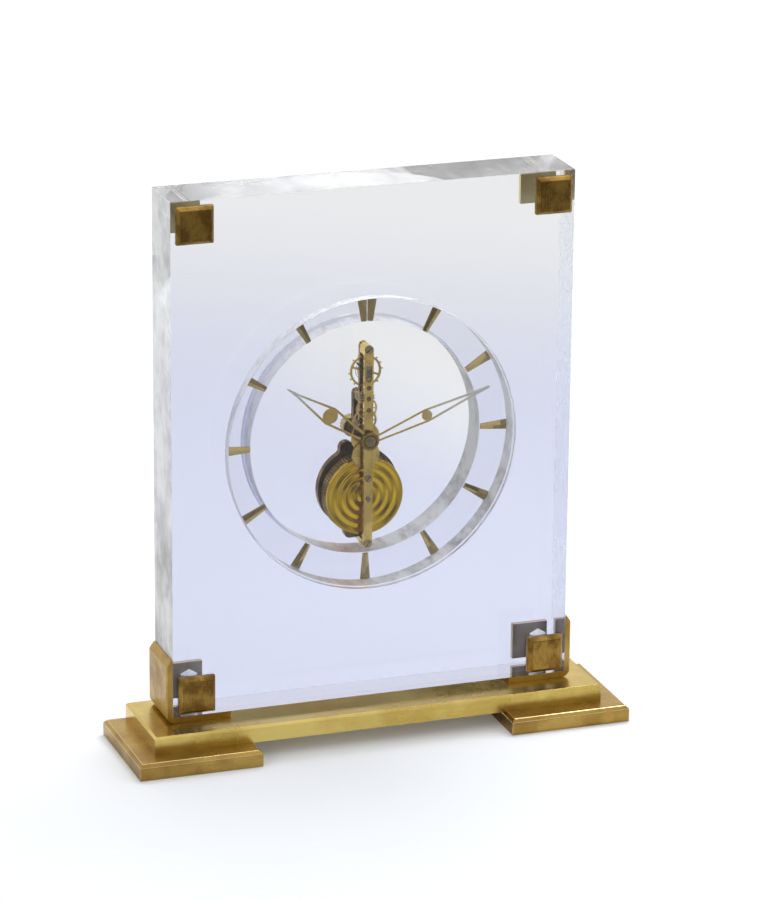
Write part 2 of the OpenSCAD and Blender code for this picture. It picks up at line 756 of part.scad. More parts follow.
// Round slotted heads on the front bars, with their shanks
module slotted_screw(y, shank_end, turn, head_r = screw_head_r) {
    difference() {
        rod(y - screw_head_t, y, head_r);
        rotate([0, turn, 0]) translate([-head_r - 1, y - screw_head_t - 1, -slot_w / 2])
            cube([2 * head_r + 2, slot_depth + 1, slot_w]);
    }
    rod(y, shank_end, screw_r);
}
module bridge_screws() color(steel) {
    rise(top_screw_rise) slotted_screw(bar_y, bridge_y + pillar_thread / 2 - 0.1, -35);
    rise(-joint_screw_drop) slotted_screw(bar_y, bar_back - 0.05, -50, 1.35);
    rise(-bottom_screw_drop) slotted_screw(bar_y, bar_back + pillar_thread - 0.1, -55);
}

// Screws from the back, through the rear disc into the rear plate
module mounting_screws() color(steel) {
    rise(0) mounting_places() mirror([0, 1, 0])
        slotted_screw(-block_back, -cover_back + mount_grip - 0.1, 20);
}

// Ring of ruby with a pivot hole
module jewel(y, r, t) {
    difference() {
        rod(y, y + t, r);
        rod(y - 1, y + t + 1, pivot_hole_r);
    }
}
module front_jewels() color(ruby) {
    for (h = [fourth_rise, escape_rise, pallet_rise]) rise(h) jewel(bar_y + 0.1, jewel_r, jewel_t);
}
module rear_jewels() color(ruby) {
    for (h = [third_rise, fourth_rise, balance_rise])
        rise(h) jewel(bridge_y + 0.05, small_jewel_r, small_jewel_t);
    for (h = [escape_rise, pallet_rise])
        rise(h) jewel(escape_bridge_y, small_jewel_r, escape_bridge_t);
}

// Oval steel cap over the front pivot of the balance, held by two small screws
module balance_cap() color(steel) {
    rise(balance_rise) difference() {
        slab(cap_floor - cap_t, cap_floor) cap_outline(cap_half_w);
        rod(bar_y - 1, cap_floor + 1, pivot_hole_r + 0.15);
        for (s = [-1, 1]) translate([0, 0, s * cap_screw_off]) rod(bar_y - 1, cap_floor + 1, cap_screw_r);
    }
}
module cap_screws() color(steel) {
    for (s = [-1, 1]) rise(balance_rise + s * cap_screw_off) {
        rod(cap_floor - cap_t - 0.2, cap_floor - cap_t, 0.7);
        rod(cap_floor - cap_t, cap_floor + cap_screw_grip - 0.05, cap_screw_r);
    }
}

// Round boss above the balance slot, with a cross slot
module index_boss() color(pale_brass) {
    rise(boss_rise) {
        difference() {
            rod(bar_y - boss_t, bar_y, boss_r);
            for (turn = [10, 100]) rotate([0, turn, 0])
                translate([-boss_r / 2, bar_y - boss_t - 1, -slot_w / 2])
                cube([boss_r, slot_depth + 1, slot_w]);
        }
        rod(bar_y, bar_y + boss_grip - 0.05, screw_r);
    }
}

module minute_wheel_stud() color(steel) {
    rise(minute_wheel_rise) {
        rod(bar_y + bar_t / 2 + 0.05, minute_wheel_y + minute_wheel_t + 0.1, arbor_r);
        rod(minute_wheel_y + minute_wheel_t + 0.05, minute_wheel_y + minute_wheel_t + 0.2, arbor_r + 0.2);
    }
}

// Points along the flat spiral of the hairspring, with a short straight run at each end
function spring_point(t) = let (a = 360 * spring_curls * t - 360 * (spring_curls % 1),
    r = spring_in_r + (spring_out_r - spring_in_r) * t) [r * sin(a), spring_y, r * cos(a)];

// Least gap between the surfaces of points that lie a turn apart
echo(hairspring_least_gap = spring_gap);

// A tube of even thickness through points that lie in one upright plane
module flat_tube(path, r) {
    last = len(path) - 1;
    function along(i) = let (d = path[min(i + 1, last)] - path[max(i - 1, 0)]) d / norm(d);
    rings = [for (i = [0 : last]) let (d = along(i), side = [d[2], 0, -d[0]])
        for (k = [0 : tube_sides - 1]) let (a = 360 * k / tube_sides)
            path[i] + r * (cos(a) * side + sin(a) * [0, 1, 0])];
    n = tube_sides;
    walls = [for (i = [0 : last - 1], k = [0 : n - 1]) let (a = i * n + k, b = i * n + (k + 1) % n)
        for (f = [[a, b, b + n], [a, b + n, a + n]]) f];
    cap_a = [for (k = [1 : n - 2]) [0, k + 1, k]];
    cap_b = [for (k = [1 : n - 2]) [last * n, last * n + k, last * n + k + 1]];
    polyhedron(rings, concat(walls, cap_a, cap_b));
}
module hairspring() color(steel) rise(balance_rise) flat_tube(spring_path, spring_tube_r);

// Stud on the balance bridge that holds the outer end of the hairspring
module hairspring_stud() color(steel) {
    rise(balance_rise) slab(spring_y - 0.3, bridge_y)
        translate([spring_end, spring_out_r - 0.35]) square([0.6, 0.7]);
}

// Leaf spring and post of the click, inside the rear plate
module click_place() {
    translate([click_reach * sin(click_turn), 0, click_reach * cos(click_turn)]) children();
}
module click_screw() color(steel) {
    rise(-barrel_drop) click_place() {
        rod(plate_y + 0.2, plate_y + recess_depth + 0.75, click_post_r);
        rod(plate_y + 0.05, plate_y + 0.2, click_post_r + 0.35);
    }
}
module click_spring() color(steel) {
    rise(-barrel_drop) slab(plate_y + 0.35, plate_y + recess_depth) intersection() {
        difference() {
            circle(recess_r - 0.05);
            circle(recess_r - 0.4);
        }
        polygon([[0, 0], [12 * sin(click_turn - 25), 12 * cos(click_turn - 25)], [14, 0],
            [12 * sin(click_turn + 60), 12 * cos(click_turn + 60)]]);
    }
}

// Drum with teeth on its rim, open at the front for the cover
module barrel() color(dark_brass) {
    wall_r = barrel_n * barrel_m / 2 - 1.25 * barrel_m;
    rise(-barrel_drop) difference() {
        union() {
            slab(barrel_y, barrel_y + rim_len) toothed(barrel_n, barrel_m, WHEEL_TOOTH);
            rod(barrel_y + rim_len, barrel_back, wall_r);
        }
        rod(barrel_y - 1, cover_seat, barrel_cover_r + 0.02);
        rod(barrel_y - 1, barrel_back - barrel_floor_t, wall_r - barrel_wall);
        rod(barrel_y - 1, barrel_back + 1, barrel_bore_r + running);
    }
}
module barrel_cover() color(brass) {
    rise(-barrel_drop) difference() {
        union() {
            rod(barrel_y - cover_step, barrel_y, cover_flange_r);
            rod(barrel_y - cover_step, cover_seat, barrel_cover_r);
        }
        rod(barrel_y - cover_step - 1, cover_seat + 1, barrel_bore_r + running);
    }
}

// Coiled strip between the drum and its arbor
module mainspring() color(steel) {
    turns = 4;
    steps = 18;
    strip_t = 0.4;
    r_in = spring_hub_r + 0.15;
    r_out = barrel_n * barrel_m / 2 - 1.25 * barrel_m - barrel_wall - strip_t - 0.1;
    spiral = [for (i = [0 : turns * steps]) [r_in + (r_out - r_in) * i / (turns * steps), 360 * i / steps]];
    rise(-barrel_drop) slab(cover_seat + 0.3, barrel_back - barrel_floor_t - 0.3) polygon(concat(
        [for (p = spiral) [p[0] * sin(p[1]), p[0] * cos(p[1])]],
        [for (i = [len(spiral) - 1 : -1 : 0]) let (p = spiral[i])
            [(p[0] + strip_t) * sin(p[1]), (p[0] + strip_t) * cos(p[1])]]));
}

// Arbor through the drum, with a square end for the key
module barrel_arbor() color(steel) {
    rise(-barrel_drop) {
        rod(bar_y + 0.15, barrel_y - cover_step - 0.2, arbor_front_r);
        rod(barrel_y - cover_step - 0.2, block_back + 0.8, barrel_bore_r);
        rod(cover_seat + 0.2, barrel_back - barrel_floor_t - 0.2, spring_hub_r);
        translate([-key_square / 2, block_back + 0.8, -key_square / 2])
            cube([key_square, wing_y - 0.3 - block_back - 0.8, key_square]);
    }
}
module ratchet_wheel() color(steel) {
    rise(-barrel_drop) slab(ratchet_y, ratchet_y + ratchet_t) difference() {
        toothed(ratchet_n, 2 * ratchet_r / ratchet_n, RATCHET_TOOTH);
        circle(barrel_bore_r);
    }
}

// Key with two pierced wings
module winding_key() color(brass) {
    y0 = block_back + 1;
    y1 = block_back + key_reach;
    rise(-barrel_drop) {
        difference() {
            rod(y0, wing_y + 1.5, key_hub_r);
            translate([-key_square / 2, y0 - 1, -key_square / 2])
                cube([key_square, wing_y - 0.2 - y0 + 1, key_square]);
        }
        translate([-key_wing_t / 2, 0, 0]) rotate([90, 0, 90]) linear_extrude(key_wing_t) difference() {
            union() {
                for (s = [-1, 1]) translate([y1 - key_wing_r, s * key_wing_off]) circle(key_wing_r);
                translate([wing_y, -key_hub_r]) square([key_wing_r, 2 * key_hub_r]);
            }
            for (s = [-1, 1]) translate([y1 - key_wing_r, s * key_wing_off * 1.25]) circle(key_wing_r * 0.42);
        }
    }
}

// Pivoted tooth that stops the ratchet wheel from running back
module click() color(steel) {
    rise(-barrel_drop) click_place() rotate([0, click_turn, 0]) difference() {
        union() {
            slab(click_y, click_y + click_t) circle(click_hub_r);
            slab(click_y, click_y + click_t) polygon(CLICK_FINGER);
        }
        slab(click_y - 1, click_y + click_t + 1) circle(click_post_r + running);
    }
}

// Arbors of the train: a body with a thin pivot at each end
module arbor(front, back, body_front, body_back, r = arbor_r, tip_r = pivot_r) {
    rod(front, back, tip_r);
    rod(body_front, body_back, r);
}
module pinion(n, m, y0, y1) {
    slab(y0, y1) toothed(n, m, PINION_LEAF, 180 / n);
}
module intermediate_wheel() color(pale_brass) {
    rise(-inter_drop) {
        slab(inter_wheel_y, inter_wheel_y + train_t) toothed(inter_n, inter_m, WHEEL_TOOTH);
        pinion(inter_leaves, barrel_m, barrel_y + 0.1, barrel_y + rim_len + 0.2);
        arbor(bar_y + bar_t / 2 + 0.1, inter_wheel_y, bar_back + 0.1, inter_wheel_y);
        arbor(inter_wheel_y, plate_y + 1.4, inter_wheel_y, plate_y - 0.15, 0.5, inter_pivot_r);
    }
}
module centre_wheel() color(brass) {
    rise(0) difference() {
        union() {
            slab(centre_wheel_y, centre_wheel_y + train_t) toothed(centre_n, centre_m, WHEEL_TOOTH);
            pinion(centre_leaves, inter_m, inter_wheel_y - leaf_over, inter_wheel_y + train_t + leaf_over);
            rod(inter_wheel_y - leaf_over, third_wheel_y + 0.1, centre_r + 0.35);
        }
        rod(bar_y, bridge_y, centre_r + running);
    }
}
module third_wheel() color(brass) {
    rise(third_rise) {
        slab(third_wheel_y, third_wheel_y + train_t - 0.05)
            crossed_wheel(third_n, third_m, 0.5, 4, 0.45, 0.9);
        pinion(third_leaves, centre_m,
            centre_wheel_y - 2 * leaf_over, centre_wheel_y + train_t + 2 * leaf_over);
        arbor(bar_y + bar_t / 2 + 0.1, bridge_y + 0.55, bar_back + 0.1, bridge_y - 0.1);
    }
}
module fourth_wheel() color(brass) {
    rise(fourth_rise) {
        slab(fourth_wheel_y, fourth_wheel_y + fourth_t) crossed_wheel(fourth_n, fourth_m, 0.44, 4, 0.4, 0.84);
        pinion(fourth_leaves, third_m, third_wheel_y - leaf_over, third_wheel_y + train_t);
        arbor(bar_y + 0.2, bridge_y + 0.55, bar_back - 0.55, bridge_y - 0.1);
    }
}

// Escape wheel with pointed raked teeth, on its own steel arbor
module escape_wheel() color(steel) {
    inner = escape_r - 1.05;
    rise(escape_rise) slab(escape_y, escape_y + escape_t) difference() {
        toothed(escape_n, 2 * escape_r / escape_n, ESCAPE_TOOTH);
        difference() {
            circle(inner);
            circle(0.7);
            for (turn = [0, 90]) rotate(turn) square([0.3, 2 * inner + 1], center = true);
        }
        circle(escape_core_r);
    }
}
module escape_arbor() color(steel) {
    rise(escape_rise) {
        arbor(bar_y + 0.2, escape_bridge_y + escape_bridge_t - 0.1, bar_back - 0.5, escape_bridge_y - 0.1,
            escape_core_r);
        pinion(escape_leaves, fourth_m,
            fourth_wheel_y - 2 * leaf_over, fourth_wheel_y + fourth_t + leaf_over);
    }
}

// Lever with two arms round the escape wheel and a forked end towards the balance
module pallet_fork() color(pale_brass) {
    rise(pallet_rise) {
        slab(escape_y, escape_y + escape_t) difference() {
            union() {
                circle(0.55);
                translate([-0.2, 0]) square([0.4, fork_end]);
                translate([-0.5, fork_end - 0.5]) square([1, 0.75]);
                for (s = [-1, 1]) polygon([[0, 0.45], [s * (stone_x + 0.3), -0.45],
                    [s * (stone_x + 0.3), -0.8], [s * (stone_x - 0.3), -0.8], [0, -0.35]]);
            }
            translate([-0.22, fork_end - 0.1]) square([0.44, 0.5]);
        }
        arbor(bar_y + 0.2, escape_bridge_y + escape_bridge_t - 0.1, bar_back - 0.5, escape_bridge_y - 0.1);
    }
}
module pallet_stones() color(ruby) {
    rise(pallet_rise) slab(escape_y, escape_y + escape_t) for (s = [-1, 1])
        translate([s * stone_x - 0.2, -stone_drop]) square([0.4, stone_drop - 0.8]);
}

// Balance rim with two arms
module balance_wheel() color(brass) {
    rise(balance_rise) slab(balance_y, balance_y + balance_t) rotate(-balance_arm_angle) difference() {
        union() {
            difference() {
                circle(balance_rim_r);
                circle(balance_rim_r - balance_rim_w);
            }
            circle(1);
            translate([-0.4, -balance_rim_r + 0.3]) square([0.8, 2 * balance_rim_r - 0.6]);
        }
        circle(arbor_r + 0.07);
    }
}
module balance_screws() color(pale_brass) {
    rise(balance_rise) for (a = rim_screw_angles)
        rotate([0, balance_arm_angle + a, 0]) translate([0, balance_y + balance_t / 2, balance_rim_r])
            cylinder(h = rim_screw_h, r = 0.3);
}

// Staff with its roller, impulse pin and pivots
module balance_staff() color(steel) {
    rise(balance_rise) {
        arbor(cap_floor - 0.2, bridge_y + 0.55, bar_back + 0.1, bridge_y - 0.1, arbor_r + 0.05);
        rod(roller_y, roller_y + roller_t, roller_r);
        rod(balance_y - 0.25, balance_y, 0.6);
        rod(spring_y - 0.15, spring_y + 0.15, spring_in_r - 0.45);
        slab(spring_y - 0.15, spring_y + 0.15)
            translate([spring_end, -spring_in_r - 0.2]) square([0.35, spring_in_r]);
        translate([0, 0, -roller_r + 0.15]) rod(escape_y + escape_t + 0.12, roller_y, 0.12);
    }
}

// Adjusting lever round the back pivot of the balance, with two curb pins at the hairspring
module regulator() color(steel) {
    rise(balance_rise) {
        slab(bridge_y - 0.35, bridge_y - 0.03) rotate(-regulator_angle) difference() {
            union() {
                circle(1.05);
                translate([-0.3, 0]) square([0.6, spring_out_r + 0.5]);
            }
            circle(arbor_r + 0.3);
        }
        for (r = [-0.3, 0.3]) rotate([0, regulator_angle, 0]) translate([0, 0, regulator_coil_r + r])
            rod(spring_y - 0.3, bridge_y - 0.3, 0.1);
    }
}

// Arbor of the hands with its cannon pinion and the front nut
module centre_arbor() color(steel) {
    rise(0) {
        rod(nut_y - 0.2, arbor_back, centre_r);
        rod(minute_hand_y - 0.1, minute_wheel_y, cannon_r);
        slab(minute_wheel_y - leaf_over, minute_wheel_y + minute_wheel_t + leaf_over)
            toothed(cannon_leaves, minute_m, PINION_LEAF);
        difference() {
            rod(nut_y, minute_hand_y - 0.2, 1.15);
            rotate([0, 35, 0]) translate([-2, nut_y - 1, -slot_w / 2]) cube([4, slot_depth + 1, slot_w]);
        }
    }
}

// Openwork hand: two struts that swell to a disc and run on to the tip
module hand_outline(len, hub_r, hole, disc_at, disc_r, half_w, strut, join_at, join_half, tip_half) {
    difference() {
        union() {
            circle(hub_r);
            difference() {
                polygon([[-hub_half, 0], [-half_w, disc_at], [-join_half, join_at], [-tip_half, len],
                    [tip_half, len], [join_half, join_at], [half_w, disc_at], [hub_half, 0]]);
                polygon([[strut - hub_half, 0], [strut - half_w, disc_at], [0, join_at],
                    [half_w - strut, disc_at], [hub_half - strut, 0]]);
            }
            translate([0, disc_at]) circle(disc_r);
        }
        circle(hole);
    }
}
module minute_hand() color(pale_brass) {
    rise(0) {
        slab(minute_hand_y, minute_hand_y + hand_t) rotate(-minute_angle)
            hand_outline(minute_len, 3.3, cannon_r + 0.02, 22.7, 1.95, 2.55, 0.75, 40.4, 1, 0.55);
        difference() {
            rod(minute_hand_y - 0.2, minute_hand_y, 2.95);
            rod(minute_hand_y - 1, minute_hand_y + 1, cannon_r + 0.02);
        }
    }
}
module hour_hand() color(pale_brass) {
    rise(0) {
        slab(hour_hand_y, hour_hand_y + hand_t) rotate(-hour_angle)
            hand_outline(hour_len, 3.2, cannon_r + running, 18.3, 2.85, 3.45, 0.9, 32.9, 0.8, 0.25);
        difference() {
            union() {
                rod(hour_hand_y, hour_wheel_y, hour_pipe_r);
                slab(hour_wheel_y, hour_wheel_y + hour_wheel_t) toothed(hour_n, hour_m, WHEEL_TOOTH);
            }
            rod(hour_hand_y - 1, hour_wheel_y + hour_wheel_t + 1, cannon_r + running);
        }
    }
}
module minute_wheel() color(brass) {
    rise(minute_wheel_rise) difference() {
        union() {
            slab(minute_wheel_y, minute_wheel_y + minute_wheel_t)
                toothed(minute_n, minute_m, WHEEL_TOOTH, 180 / minute_n);
            pinion(minute_leaves, hour_m, hour_wheel_y, minute_wheel_y);
        }
        rod(bar_back, inter_wheel_y, arbor_r + running);
    }
}

// Fluted knob on the back end of the arbor of the hands
module setting_knob() color(brass) {
    rise(0) difference() {
        union() {
            rod(block_back + 1, arbor_back + 2, knob_r);
            rod(block_back + 0.5, block_back + 1, knob_r / 2);
        }
        rod(block_back, arbor_back, centre_r);
        for (i = [0 : 19]) rotate([0, 18 * i, 0]) translate([0, 0, knob_r + 0.15])
            rod(block_back, arbor_back + 3, 0.45);
    }
}

clear_block();
front_cover();
rear_cover();
plinth_plate();
left_foot();
right_foot();
left_bracket();
right_bracket();
base_screws();
foot_screws();
top_left_square();
top_right_square();
bottom_left_square();
bottom_right_square();
rear_squares();
hour_markers();
train_bridge();
barrel_bridge();
top_spacer();
bottom_pillar();
balance_bridge();
middle_pillars();
rear_plate();
escapement_bridge();
bridge_screws();
mounting_screws();
front_jewels();
rear_jewels();
balance_cap();
cap_screws();
index_boss();
minute_wheel_stud();
hairspring_stud();
hairspring();
click_spring();
click_screw();
barrel();
barrel_cover();
mainspring();
barrel_arbor();
ratchet_wheel();
winding_key();
click();
intermediate_wheel();
centre_wheel();
third_wheel();
fourth_wheel();
escape_wheel();
escape_arbor();
pallet_fork();
pallet_stones();
balance_wheel();
balance_screws();
balance_staff();
regulator();
centre_arbor();
minute_hand();
hour_hand();
minute_wheel();
setting_knob();
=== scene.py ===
"""Desk clock: a clear acrylic block on a stepped brass base, its movement in a round opening."""
import json
from math import cos, pi, radians, sin

import bmesh
import bpy
from bpy.props import FloatProperty, FloatVectorProperty, PointerProperty
from mathutils import Matrix, Vector


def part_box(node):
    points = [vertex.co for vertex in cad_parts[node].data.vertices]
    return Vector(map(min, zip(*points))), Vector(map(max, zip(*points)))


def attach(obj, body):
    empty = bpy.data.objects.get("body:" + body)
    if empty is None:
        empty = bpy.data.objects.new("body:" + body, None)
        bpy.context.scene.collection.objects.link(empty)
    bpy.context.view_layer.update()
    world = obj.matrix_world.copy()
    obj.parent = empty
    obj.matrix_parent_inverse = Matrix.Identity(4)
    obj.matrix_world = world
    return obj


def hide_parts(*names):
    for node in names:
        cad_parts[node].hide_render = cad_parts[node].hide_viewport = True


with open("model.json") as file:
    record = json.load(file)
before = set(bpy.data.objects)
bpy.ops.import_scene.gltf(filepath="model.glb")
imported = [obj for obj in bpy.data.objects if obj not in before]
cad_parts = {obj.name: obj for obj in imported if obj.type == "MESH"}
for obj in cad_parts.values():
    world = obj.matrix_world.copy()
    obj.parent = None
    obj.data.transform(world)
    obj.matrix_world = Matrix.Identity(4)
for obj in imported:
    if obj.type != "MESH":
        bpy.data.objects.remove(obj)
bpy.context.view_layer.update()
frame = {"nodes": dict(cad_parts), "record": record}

bl_info = {
    "name": "Desk Clock",
    "version": (1, 0, 0),
    "blender": (4, 5, 0),
    "location": "View3D > Sidebar > Desk Clock",
    "description": "Builds the visible pieces and finishes of a clear desk clock over its frame",
    "category": "Add Mesh",
}

MM = 0.001

# Places on the clock, in millimetres from the middle of its foot
DIAL_Z = 109.6  # centre of the dial and its hands
BARREL_Z = 87.4  # centre of the barrel
BALANCE_Z = 134.3  # centre of the balance
BLOCK_SIDE = 74.3  # where the chamfers of the block's sides end
BLOCK_TOP = 204.1  # where the chamfers of its top end
HOLE_REACH = 57.0  # walls nearer than this to the dial's centre are those of the round hole
OUTSIDE_REACH = 60.0  # edges farther than this from it are those of the block's outside
BORE_X, BORE_Y, BORE_RADIUS = 66.85, 3.7, 3.2  # the two bores for the base screws
BORE_LOW, BORE_HIGH = 15.0, 35.0  # heights of their two ends
GLOW_X, GLOW_HALF = -8.0, 13.0  # middle and half width of the painted glow of brass light below the movement
GLOW_LOW, GLOW_HIGH = 50.0, 72.0  # its lowest and highest point
BAR_SCREW_FRONT, CAP_SCREW_FRONT = -1.6, -1.25  # depths of the flat fronts of the slotted heads

# Sizes in millimetres
COVER_GAP = 0.03  # air round the clear covers, which look dark where they touch the block
SEAT_GAP = 0.02  # air under the pieces that lie on the block
HUB_RADIUS, HUB_FADE = 3.3, 0.3  # the minute hand's dark hub, and the width over which it ends
GROOVE_RADIUS = 2.2  # the turned groove in the hub
COVER_BORE, COVER_BOSS = 1.65, 13.65  # radii of the barrel cover's hole and of its boss behind
COVER_LAND, COVER_BEVEL = 0.7, 0.08  # widths of its flat rim and of the rim's bevel
COVER_CREST, COVER_FACE = 0.05, 0.02  # depths of its waves' crests and of its rim
COVER_FLANGE = 0.4  # how far the boss stands out behind the rim
SPRING_INNER, SPRING_OUTER = 1.25, 3.7  # radii of the hairspring's two ends

# Fineness of the meshes
WELD = 1e-7  # metres between points that are one
FLAT_ANGLE = radians(0.6)  # faces that meet at less are one face
ROUNDED_ANGLE = radians(25)  # edges sharper than this are rounded
TURNED_STEPS = 160  # faces round a turned piece
WAVE_STEPS = 90  # points across the barrel cover's waves
CURL_STEPS = 48  # points on each turn of the hairspring

BLACK, WHITE = (0, 0, 0), (1, 1, 1)
ACRYLIC_IOR, RUBY_IOR = 1.49, 1.76

BODY = {
    node: body for body, nodes in frame["record"]["behaviour"]["bodies"].items() for node in nodes
}


# ---------------------------------------------------------------- sizes and colours


def colour(name, description, value):
    return FloatVectorProperty(
        name=name, description=description, default=value, min=0, max=1, size=3, subtype="COLOR"
    )


def length(name, description, value, low, high):
    """A length whose default and limits are in millimetres."""
    return FloatProperty(
        name=name,
        description=description,
        default=value * MM,
        min=low * MM,
        max=high * MM,
        unit="LENGTH",
        precision=5,
    )


def share(name, description, value):
    return FloatProperty(name=name, description=description, default=value, min=0, max=1)


def angle(name, description, degrees):
    return FloatProperty(
        name=name, description=description, default=radians(degrees), subtype="ANGLE"
    )


class ClearSettings(bpy.types.PropertyGroup):
    """Clear block and its two round covers"""

    # Painted light and shade: the clear pieces are painted darker and bluer low down and lighter
    # high up. The upper tint also colours lamp light that passes through them.
    tint_low_shaded: colour("Tint below", "Colour of light from low in the block", (0.63, 0.65, 0.78))
    tint_high: colour("Tint above", "Colour of light from high in the block", (0.80, 0.81, 0.82))
    frost: colour("Frost", "Colour of the drilled and turned walls", (0.86, 0.86, 0.85))
    mark: colour("Tool marks", "Colour of the deeper tool marks", (0.62, 0.62, 0.63))
    # Painted reflection: the warm light of the brass movement, painted on the walls below it.
    painted_brass_glow: colour("Brass glow", "Colour of the walls below the movement", (0.90, 0.66, 0.48))
    edge: length("Edge", "Width of the polished chamfer on the block", 0.3, 0.05, 1)
    cover_edge: length("Cover edge", "Width of the chamfer on the round covers", 0.2, 0.05, 0.5)
    streaks: share("Streaks", "Strength of the tool marks on the sides", 0.3)


class BrassSettings(bpy.types.PropertyGroup):
    """Base, brackets, squares and markers"""

    plinth: colour("Plinth", "Colour of the polished plinth", (0.74, 0.57, 0.18))
    plinth_dark: colour("Plinth, dull", "Colour of the plinth's dull patches", (0.44, 0.30, 0.06))
    foot: colour("Feet", "Colour of the foot plates", (0.50, 0.34, 0.09))
    foot_dark: colour("Feet, aged", "Colour of their aged patches", (0.26, 0.14, 0.035))
    square: colour("Squares", "Colour of the corner squares", (0.52, 0.33, 0.08))
    square_dark: colour("Squares, aged", "Colour of the squares' grain", (0.16, 0.085, 0.018))
    # Painted highlight: the rounding of the brass edges takes this pale tone as if catching the
    # light, with a little real wear from handling.
    edge_tone: colour("Worn edge", "Colour of edges that handling has polished", (0.92, 0.78, 0.44))
    # Besides real dirt, this colour is painted shade in the screw slots and the hub's groove, and
    # darkens the front squares' rounded edges.
    grime_and_shade: colour("Grime", "Colour of the dirt in corners and slots", (0.06, 0.04, 0.012))
    marker: colour("Markers", "Colour of the polished hour markers", (0.32, 0.25, 0.08))
    # Painted light: the rear squares are painted brighter high up and duller low down.
    rear: colour("Rear squares", "Colour of the upper squares behind", (0.95, 0.88, 0.52))
    rear_dark: colour("Rear squares, low", "Colour of the lower ones", (0.48, 0.42, 0.32))
    edge: length("Edge", "Rounding of the outer edges", 0.25, 0.05, 0.6)
    marker_edge: length("Marker edge", "Rounding of the hour markers", 0.05, 0.01, 0.15)


class MovementSettings(bpy.types.PropertyGroup):
    """Plates, wheels and hands"""

    gilt: colour("Gilt", "Colour of the gilt bars and wheels", (0.95, 0.70, 0.20))
    satin: colour("Satin brass", "Colour of the plates behind", (0.44, 0.31, 0.09))
    bronze: colour("Bronze", "Colour of the dark rear plate", (0.24, 0.16, 0.05))
    hub: colour("Hub", "Colour of the minute hand's hub", (0.34, 0.23, 0.05))
    cover: colour("Barrel cover", "Colour of the barrel's waved cover", (0.62, 0.40, 0.01))
    steel: colour("Steel", "Colour of screws and arbors", (0.36, 0.32, 0.22))
    hand_tip: colour("Hand tips", "Colour of the hands far from the hub", (0.90, 0.88, 0.80))
    ruby: colour("Ruby", "Colour of the jewels", (0.06, 0.010, 0.006))
    edge: length("Edge", "Rounding of bars and pillars", 0.1, 0.02, 0.3)
    fine_edge: length("Fine edge", "Rounding of hands, screws and cap", 0.04, 0.01, 0.1)
    wave_pitch: length("Wave pitch", "Distance between the cover's waves", 3.05, 1, 6)
    wave_depth: length("Wave depth", "Height of the cover's waves", 0.5, 0, 0.6)
    spring_curls: FloatProperty(
        name="Spring curls", description="Turns of the hairspring", default=3.5, min=2, max=8
    )
    spring_wire: length("Spring wire", "Thickness of the hairspring's wire", 0.2, 0.05, 0.24)


class StageSettings(bpy.types.PropertyGroup):
    """Floor, lamps and camera"""

    azimuth: angle("Azimuth", "Camera's angle round the clock", -19.586)
    elevation: angle("Elevation", "Camera's angle above the clock", 18.212)
    roll: angle("Roll", "Camera's turn about its own view", 0.524)
    distance: FloatProperty(
        name="Distance",
        description="Camera's distance from its target",
        default=1.62707,
        min=0.5,
        unit="LENGTH",
    )
    target: FloatVectorProperty(
        name="Target",
        description="Point that the camera looks at",
        default=(0.006751, 0, 0.104563),
        size=3,
        subtype="TRANSLATION",
        unit="LENGTH",
    )
    lens: FloatProperty(
        name="Lens",
        description="Focal length in millimetres on a 36 mm frame",
        default=182.08,
        min=20,
    )
    floor_light: share("Floor light", "Share of the floor's own white beside the clock", 0.08)
    ahead: share("Room ahead", "How bright metal mirrors the floor well ahead of the clock", 0.4)
    surround: share("Surround", "Level of the light from all round", 0.6)


GROUPS = {
    "clear": ClearSettings,
    "brass": BrassSettings,
    "movement": MovementSettings,
    "stage": StageSettings,
}


def settings(group):
    return getattr(bpy.context.scene, "desk_clock_" + group)


# ---------------------------------------------------------------- finishes


class Socket:
    """An output of a node tree, with arithmetic that adds Math nodes."""

    def __init__(self, tree, link):
        self.tree, self.link = tree, link

    def _math(self, operation, *values):
        return self.tree.node("ShaderNodeMath", {"operation": operation}, dict(enumerate(values)))

    def __add__(self, other):
        return self._math("ADD", self, other)

    __radd__ = __add__

    def __sub__(self, other):
        return self._math("SUBTRACT", self, other)

    def __rsub__(self, other):
        return self._math("SUBTRACT", other, self)

    def __mul__(self, other):
        return self._math("MULTIPLY", self, other)

    __rmul__ = __mul__

    def __pow__(self, other):
        return self._math("POWER", self, other)

    def __abs__(self):
        return self._math("ABSOLUTE", self)

    def at_most(self, other):
        return self._math("MINIMUM", self, other)

    def at_least(self, other):
        return self._math("MAXIMUM", self, other)


def distance(a, b):
    """Length of a way whose two parts, at right angles, are sockets."""
    return (a * a + b * b) ** 0.5


def opaque(tone):
    """A colour as a node takes it; a socket stays as it is."""
    return tone if isinstance(tone, Socket) else (*tone, 1)


